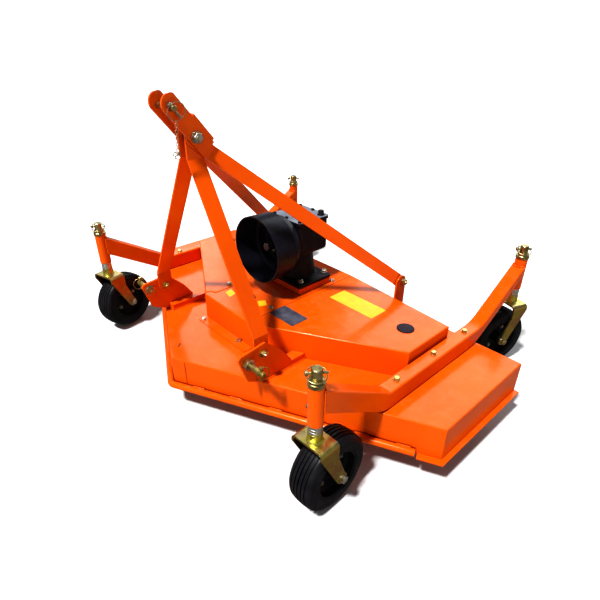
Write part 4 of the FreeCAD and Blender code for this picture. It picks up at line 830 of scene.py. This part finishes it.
apex = Vector((0, -0.473716, 1.014))
lean = math.radians(51.0)
clevis_up = Vector((0, -math.cos(lean), math.sin(lean)))
ear_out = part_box("top_link_clevis")[1][0]
bolts("apex_bolt_washers", [(apex + right * way * (ear_out + 0.0003), right * way) for way in (-1, 1)],
      "deck", flats=0.0305, head=0.0143, washer=0.0190, washer_thick=0.0016, thread=0.0094, thread_end=0.0016)
clasp = bmesh.new()
pin_gap, pin_stub = 0.121, 0.012
pin_end = apex + clevis_up * pin_gap + right * (ear_out + pin_stub)
linch_pin(clasp, pin_end - clevis_up * 0.0115, -clevis_up, right, reach=0.030, ring_r=0.0285,
          sag=(0.001, 0.002, -0.002), lean=10.0)
plain("top_linch_pin", clasp, "top_link", zinc)


def chain_tree():
    """Links along a path, every second one a quarter turn round."""
    tree, way_in, way_out = geometry_tree("chain", ("Link Pitch", "Link Width", "Wire Radius"))
    path = resampled(tree, way_in["Geometry"], way_in["Link Pitch"])
    length = plus(tree, way_in["Link Pitch"], times(tree, way_in["Wire Radius"], 3.2))
    oval = step(tree, "GeometryNodeCurvePrimitiveQuadrilateral",
                {"Width": way_in["Link Width"], "Height": length}).outputs[0]
    oval = step(tree, "GeometryNodeFilletCurve",
                {"Curve": oval, "Count": 4, "Radius": times(tree, way_in["Link Width"], 0.5),
                 "Limit Radius": True}, mode="POLY").outputs[0]
    section = step(tree, "GeometryNodeCurvePrimitiveCircle",
                   {"Resolution": 8, "Radius": way_in["Wire Radius"]}).outputs["Curve"]
    link = step(tree, "GeometryNodeCurveToMesh", {"Curve": oval, "Profile Curve": section}).outputs[0]
    tangent = tree.nodes.new("GeometryNodeInputTangent").outputs[0]
    along = step(tree, "FunctionNodeAlignRotationToVector", {"Vector": tangent}, axis="Y").outputs[0]
    quarter = times(tree, tree.nodes.new("GeometryNodeInputIndex").outputs[0], math.pi / 2)
    stand_on(tree, way_in, way_out, path, link, along, {"Y": plus(tree, quarter, 0.5)})
    return tree


def coppery_plate():
    """Zinc chain gone brown with surface rust."""
    finish, tree, shader, place = finish_tree("coppery_plate")
    colour = graded(tree, speckle(tree, place, 260.0, 4.0),
                    (0.35, (0.62, 0.24, 0.10)), (0.65, (0.60, 0.46, 0.34)))
    return closed(finish, tree, shader, colour, patchy(tree, place, 300.0, 0.32, 0.55, 3.0), metal=0.8)


chain_x = ear_out + pin_stub
hang = [Vector((chain_x, y, z)) for y, z in (
    (-0.5440, 1.0665), (-0.5462, 1.040), (-0.5475, 1.015), (-0.5490, 0.988))]
made_by(chain_tree(), "keeper_chain", lines([hang]), "top_link", "machined_steel", coppery_plate(), 60.0,
        link_pitch=0.0086, link_width=0.0074, wire_radius=0.0011)
spare = bmesh.new()
linch_pin(spare, (chain_x, -0.5565, 0.9735), (0, -0.80, -0.45), (0.9, 0.1, 0.2), reach=0.0135,
          ring_r=0.011, pin_r=0.0026, lean=24.0)
plain("spare_linch_pin", spare, "top_link", zinc)

# ---- Gearbox and power take-off ----
# Cast right-angle gearbox on a welded pedestal, painted black, with a plate lid and a breather. A
# moulded guard stands round the splined input shaft.


def casting_black(tree, place):
    """Black paint with a touch of purple, paler in patches."""
    return graded(tree, speckle(tree, place, 22.0, 6.0, 0.7),
                  (0.35, (0.0095, 0.0084, 0.0110)), (0.78, (0.0240, 0.0215, 0.0265)))


def cast_enamel():
    """Black paint over a sand casting: rough skin, and paler along its edges as a painted highlight."""
    finish, tree, shader, place = finish_tree("cast_enamel")
    skin = plus(tree, times(tree, speckle(tree, place, 150.0, 4.0), 0.7),
                times(tree, speckle(tree, place, 620.0, 2.0), 0.3))
    edges = surface(tree, shader, 0.0022, skin, 0.30, 0.0008)
    # painted highlight: the paint is paler along every edge
    colour = laid_over(tree, times(tree, edges, 0.35), casting_black(tree, place), (0.030, 0.027, 0.030))
    return closed(finish, tree, shader, colour, patchy(tree, place, 46.0, 0.30, 0.50), mirror=0.20)


casting = cast_enamel()
dress(["gearbox_pedestal"], coat)
dress(["gearbox_housing", "spindle_housings"], casting)


def lid_enamel():
    """The casting's black on the lid's rim and breather, and a grey painted reflection of the sky on its flat
    top.
    """
    finish, tree, shader, place = finish_tree("lid_enamel")
    edges = surface(tree, shader, 0.0015, speckle(tree, place, 300.0, 3.0), 0.16, 0.0004)
    grey = graded(tree, speckle(tree, place, 18.0, 5.0, 0.65),
                  (0.30, (0.110, 0.125, 0.155)), (0.70, (0.215, 0.235, 0.275)))
    below_breather = graded(tree, above_ground(tree, place), (0.6410, 1.0), (0.6415, 0.0))
    # painted reflection: the up-facing top, below the breather, is painted bluish grey where the sky would
    # mirror in it
    sky_lit_top = times(tree, facing_up(tree), below_breather)
    colour = laid_over(tree, sky_lit_top, casting_black(tree, place), grey)
    # painted highlight: the enamel is paler along every edge
    colour = laid_over(tree, times(tree, edges, 0.4), colour, (0.050, 0.050, 0.055))
    return closed(finish, tree, shader, colour, patchy(tree, place, 46.0, 0.30, 0.46), mirror=0.25)


dress(["gearbox_lid"], lid_enamel())
dress(["pto_shield"], moulded_black("shield_plastic", (0.0090, 0.0088, 0.0145),
                                    (0.0175, 0.0175, 0.0270), 0.26, 700.0))
base_top, lid_top = 0.379, 0.640
bolts("base_bolts", [(Vector((side * x, y, base_top)), up)
                     for side in both for x, y in ((0.088, -0.071), (0.086, 0.073))],
      "deck", flats=0.022, head=0.0105, washer=0.0145, washer_thick=0.0026, thread=0.0068, thread_end=0.0006)
case_bolt = dict(flats=0.013, head=0.0055, washer=0.0080, washer_thick=0.0012, thread=0.003,
                 thread_end=0.0004, finish=casting, slot="cast_black")
bolts("lid_bolts", [(Vector((x, y, lid_top)), up) for x, y in (
    (-0.078, -0.066), (0.0, -0.068), (0.078, -0.066), (-0.078, 0.080), (0.0, 0.082))],
      "deck", **case_bolt)
input_z = 0.544


def round_shaft(radius, y, way, degrees):
    """Spots on a circle round the input shaft's line, each facing one way along it."""
    turns = [math.radians(turn) for turn in degrees]
    return [(Vector((radius * math.cos(turn), y, input_z + radius * math.sin(turn))), Vector((0, way, 0)))
            for turn in turns]


cap_y, shield_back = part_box("gearbox_housing")[1][1], -0.0929
bolts("end_cap_bolts", round_shaft(0.0425, cap_y, 1, range(30, 390, 60)), "deck", **case_bolt)
bolts("shield_bolts", round_shaft(0.083, shield_back, -1, range(45, 405, 90)),
      "deck", flats=0.013, head=0.0055, washer=0.0100, washer_thick=0.0016, thread=0.003, thread_end=0.0004)


def bare_steel(name, low, high, gloss, soil):
    """Bare steel with turning or grinding marks, and soil or oil in its low places."""
    finish, tree, shader, place = finish_tree(name)
    marks = step(tree, "ShaderNodeMapping", {"Vector": place, "Scale": (1.0, 1.0, 30.0)}).outputs[0]
    edges = surface(tree, shader, 0.0005, speckle(tree, marks, 60.0, 3.0), 0.10, 0.0003)
    colour = graded(tree, speckle(tree, place, 40.0, 5.0), (0.30, low), (0.70, high))
    dirt = graded(tree, speckle(tree, place, 17.0, 8.0, 0.75), (0.46, 0.0), (0.66, soil))
    colour = laid_over(tree, dirt, colour, (0.075, 0.058, 0.030))
    # painted highlight: the steel is paler along every edge
    colour = laid_over(tree, times(tree, edges, 0.6), colour, (0.72, 0.72, 0.70))
    tree.links.new(graded(tree, dirt, (0.0, 1.0), (0.8, 0.1)), shader.inputs["Metallic"])
    return closed(finish, tree, shader, colour, patchy(tree, place, 80.0, gloss, gloss + 0.22))


dress(["pto_shaft"], bare_steel("turned_steel", (0.10, 0.10, 0.105), (0.24, 0.24, 0.24), 0.30, 0.5))

# ---- Spindles and blades ----
# Cast bearing housings, painted black, each bolted up under the deck with four bolts. Bare steel
# hubs under them carry three fan-tipped blades, worn bright and soiled.

dress(["blade_hub_left", "blade_hub_centre", "blade_hub_right"],
      bare_steel("hub_steel", (0.26, 0.26, 0.26), (0.44, 0.44, 0.44), 0.34, 0.5))
dress(["blade_left", "blade_centre", "blade_right"],
      bare_steel("blade_steel", (0.22, 0.21, 0.20), (0.40, 0.39, 0.38), 0.36, 0.7))
flange_thick, flange_circle = 0.010, 0.067
flange_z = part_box("spindle_housings")[1][2] - flange_thick
spindles = ((-0.571, -0.02289), (0.0, -0.20289), (0.571, -0.02289))
bolts("spindle_bolts", [(Vector((x + flange_circle * math.cos(turn), y + flange_circle * math.sin(turn),
                                 flange_z)), down)
                        for x, y in spindles for turn in (math.radians(90 * k) for k in range(4))],
      "deck", flats=0.017, head=0.0085, washer=0.0100, washer_thick=0.0016, thread=0.0048, thread_end=0.003)

# ---- Floor and lights ----
# Round white floor under a sun from the front, high up, with three soft boxes. The air is white to
# look at, and dim in what it lights; gloss mirrors a darker yard instead of the floor.

floor_shape = bmesh.new()
floor_r, floor_foot = 40.0, -0.02
spun(floor_shape, [(0, 0), (0, floor_r), (floor_foot, floor_r), (floor_foot, 0)], (0, 0, 0), up, 96)
ground = bpy.data.meshes.new("floor")
floor_shape.to_mesh(ground)
floor_shape.free()
floor = bpy.data.objects.new("floor", ground)
bpy.context.scene.collection.objects.link(floor)
pale, tree, shader, place = finish_tree("pale_floor")
drift = graded(tree, speckle(tree, place, 3.0, 5.0), (0.3, 0.66), (0.7, 0.68))
tree.links.new(drift, shader.inputs["Base Color"])
shader.inputs["Roughness"].default_value = 0.9
shader.inputs["Specular IOR Level"].default_value = 0.2
ground.materials.append(pale)
floor.visible_glossy = False

sky = bpy.data.worlds.new("studio_air")
sky.use_nodes = True
tree = sky.node_tree
way = step(tree, "ShaderNodeTexCoord", {}).outputs["Generated"]
rise = step(tree, "ShaderNodeSeparateXYZ", {"Vector": way}).outputs["Z"]
rise = plus(tree, times(tree, rise, 0.5), 0.5)
air = graded(tree, rise, (0.0, (0.16, 0.14, 0.125)), (0.46, (0.30, 0.27, 0.25)),
             (0.50, (0.62, 0.62, 0.62)), (0.58, (0.26, 0.28, 0.31)), (0.74, (0.14, 0.144, 0.15)))
seen = step(tree, "ShaderNodeLightPath", {}).outputs["Is Camera Ray"]
air = laid_over(tree, seen, air, (1.0, 1.0, 1.0))
tree.links.new(air, tree.nodes["Background"].inputs["Color"])
bpy.context.scene.world = sky
for name, kind, spot, aim, power, shape in (
        ("sun_lamp", "SUN", (0.15, -2.45, 4.5), (0, 0, 0), 4.1, {"angle": math.radians(6)}),
        ("front_lamp", "AREA", (2.6, -4.4, 1.3), (0.3, 0, 0.3), 7.0,
         {"shape": "RECTANGLE", "size": 2.4, "size_y": 1.4}),
        ("left_soft_box", "AREA", (-4.3, 1.5, 2.9), (-0.3, -0.3, 0.2), 23.0,
         {"shape": "RECTANGLE", "size": 1.6, "size_y": 2.2}),
        ("rear_soft_box", "AREA", (-0.9, 3.9, 3.4), (0.4, 0, 0.2), 62.0,
         {"shape": "RECTANGLE", "size": 3.6, "size_y": 2.6})):
    lamp = bpy.data.lights.new(name, kind)
    lamp.energy = power
    for key, value in shape.items():
        setattr(lamp, key, value)
    holder = bpy.data.objects.new(name, lamp)
    holder.location = spot
    holder.rotation_euler = (Vector(aim) - Vector(spot)).to_track_quat("-Z", "Y").to_euler()
    bpy.context.scene.collection.objects.link(holder)
bpy.context.scene.view_settings.view_transform = "Standard"
bpy.context.scene.view_settings.look = "High Contrast"
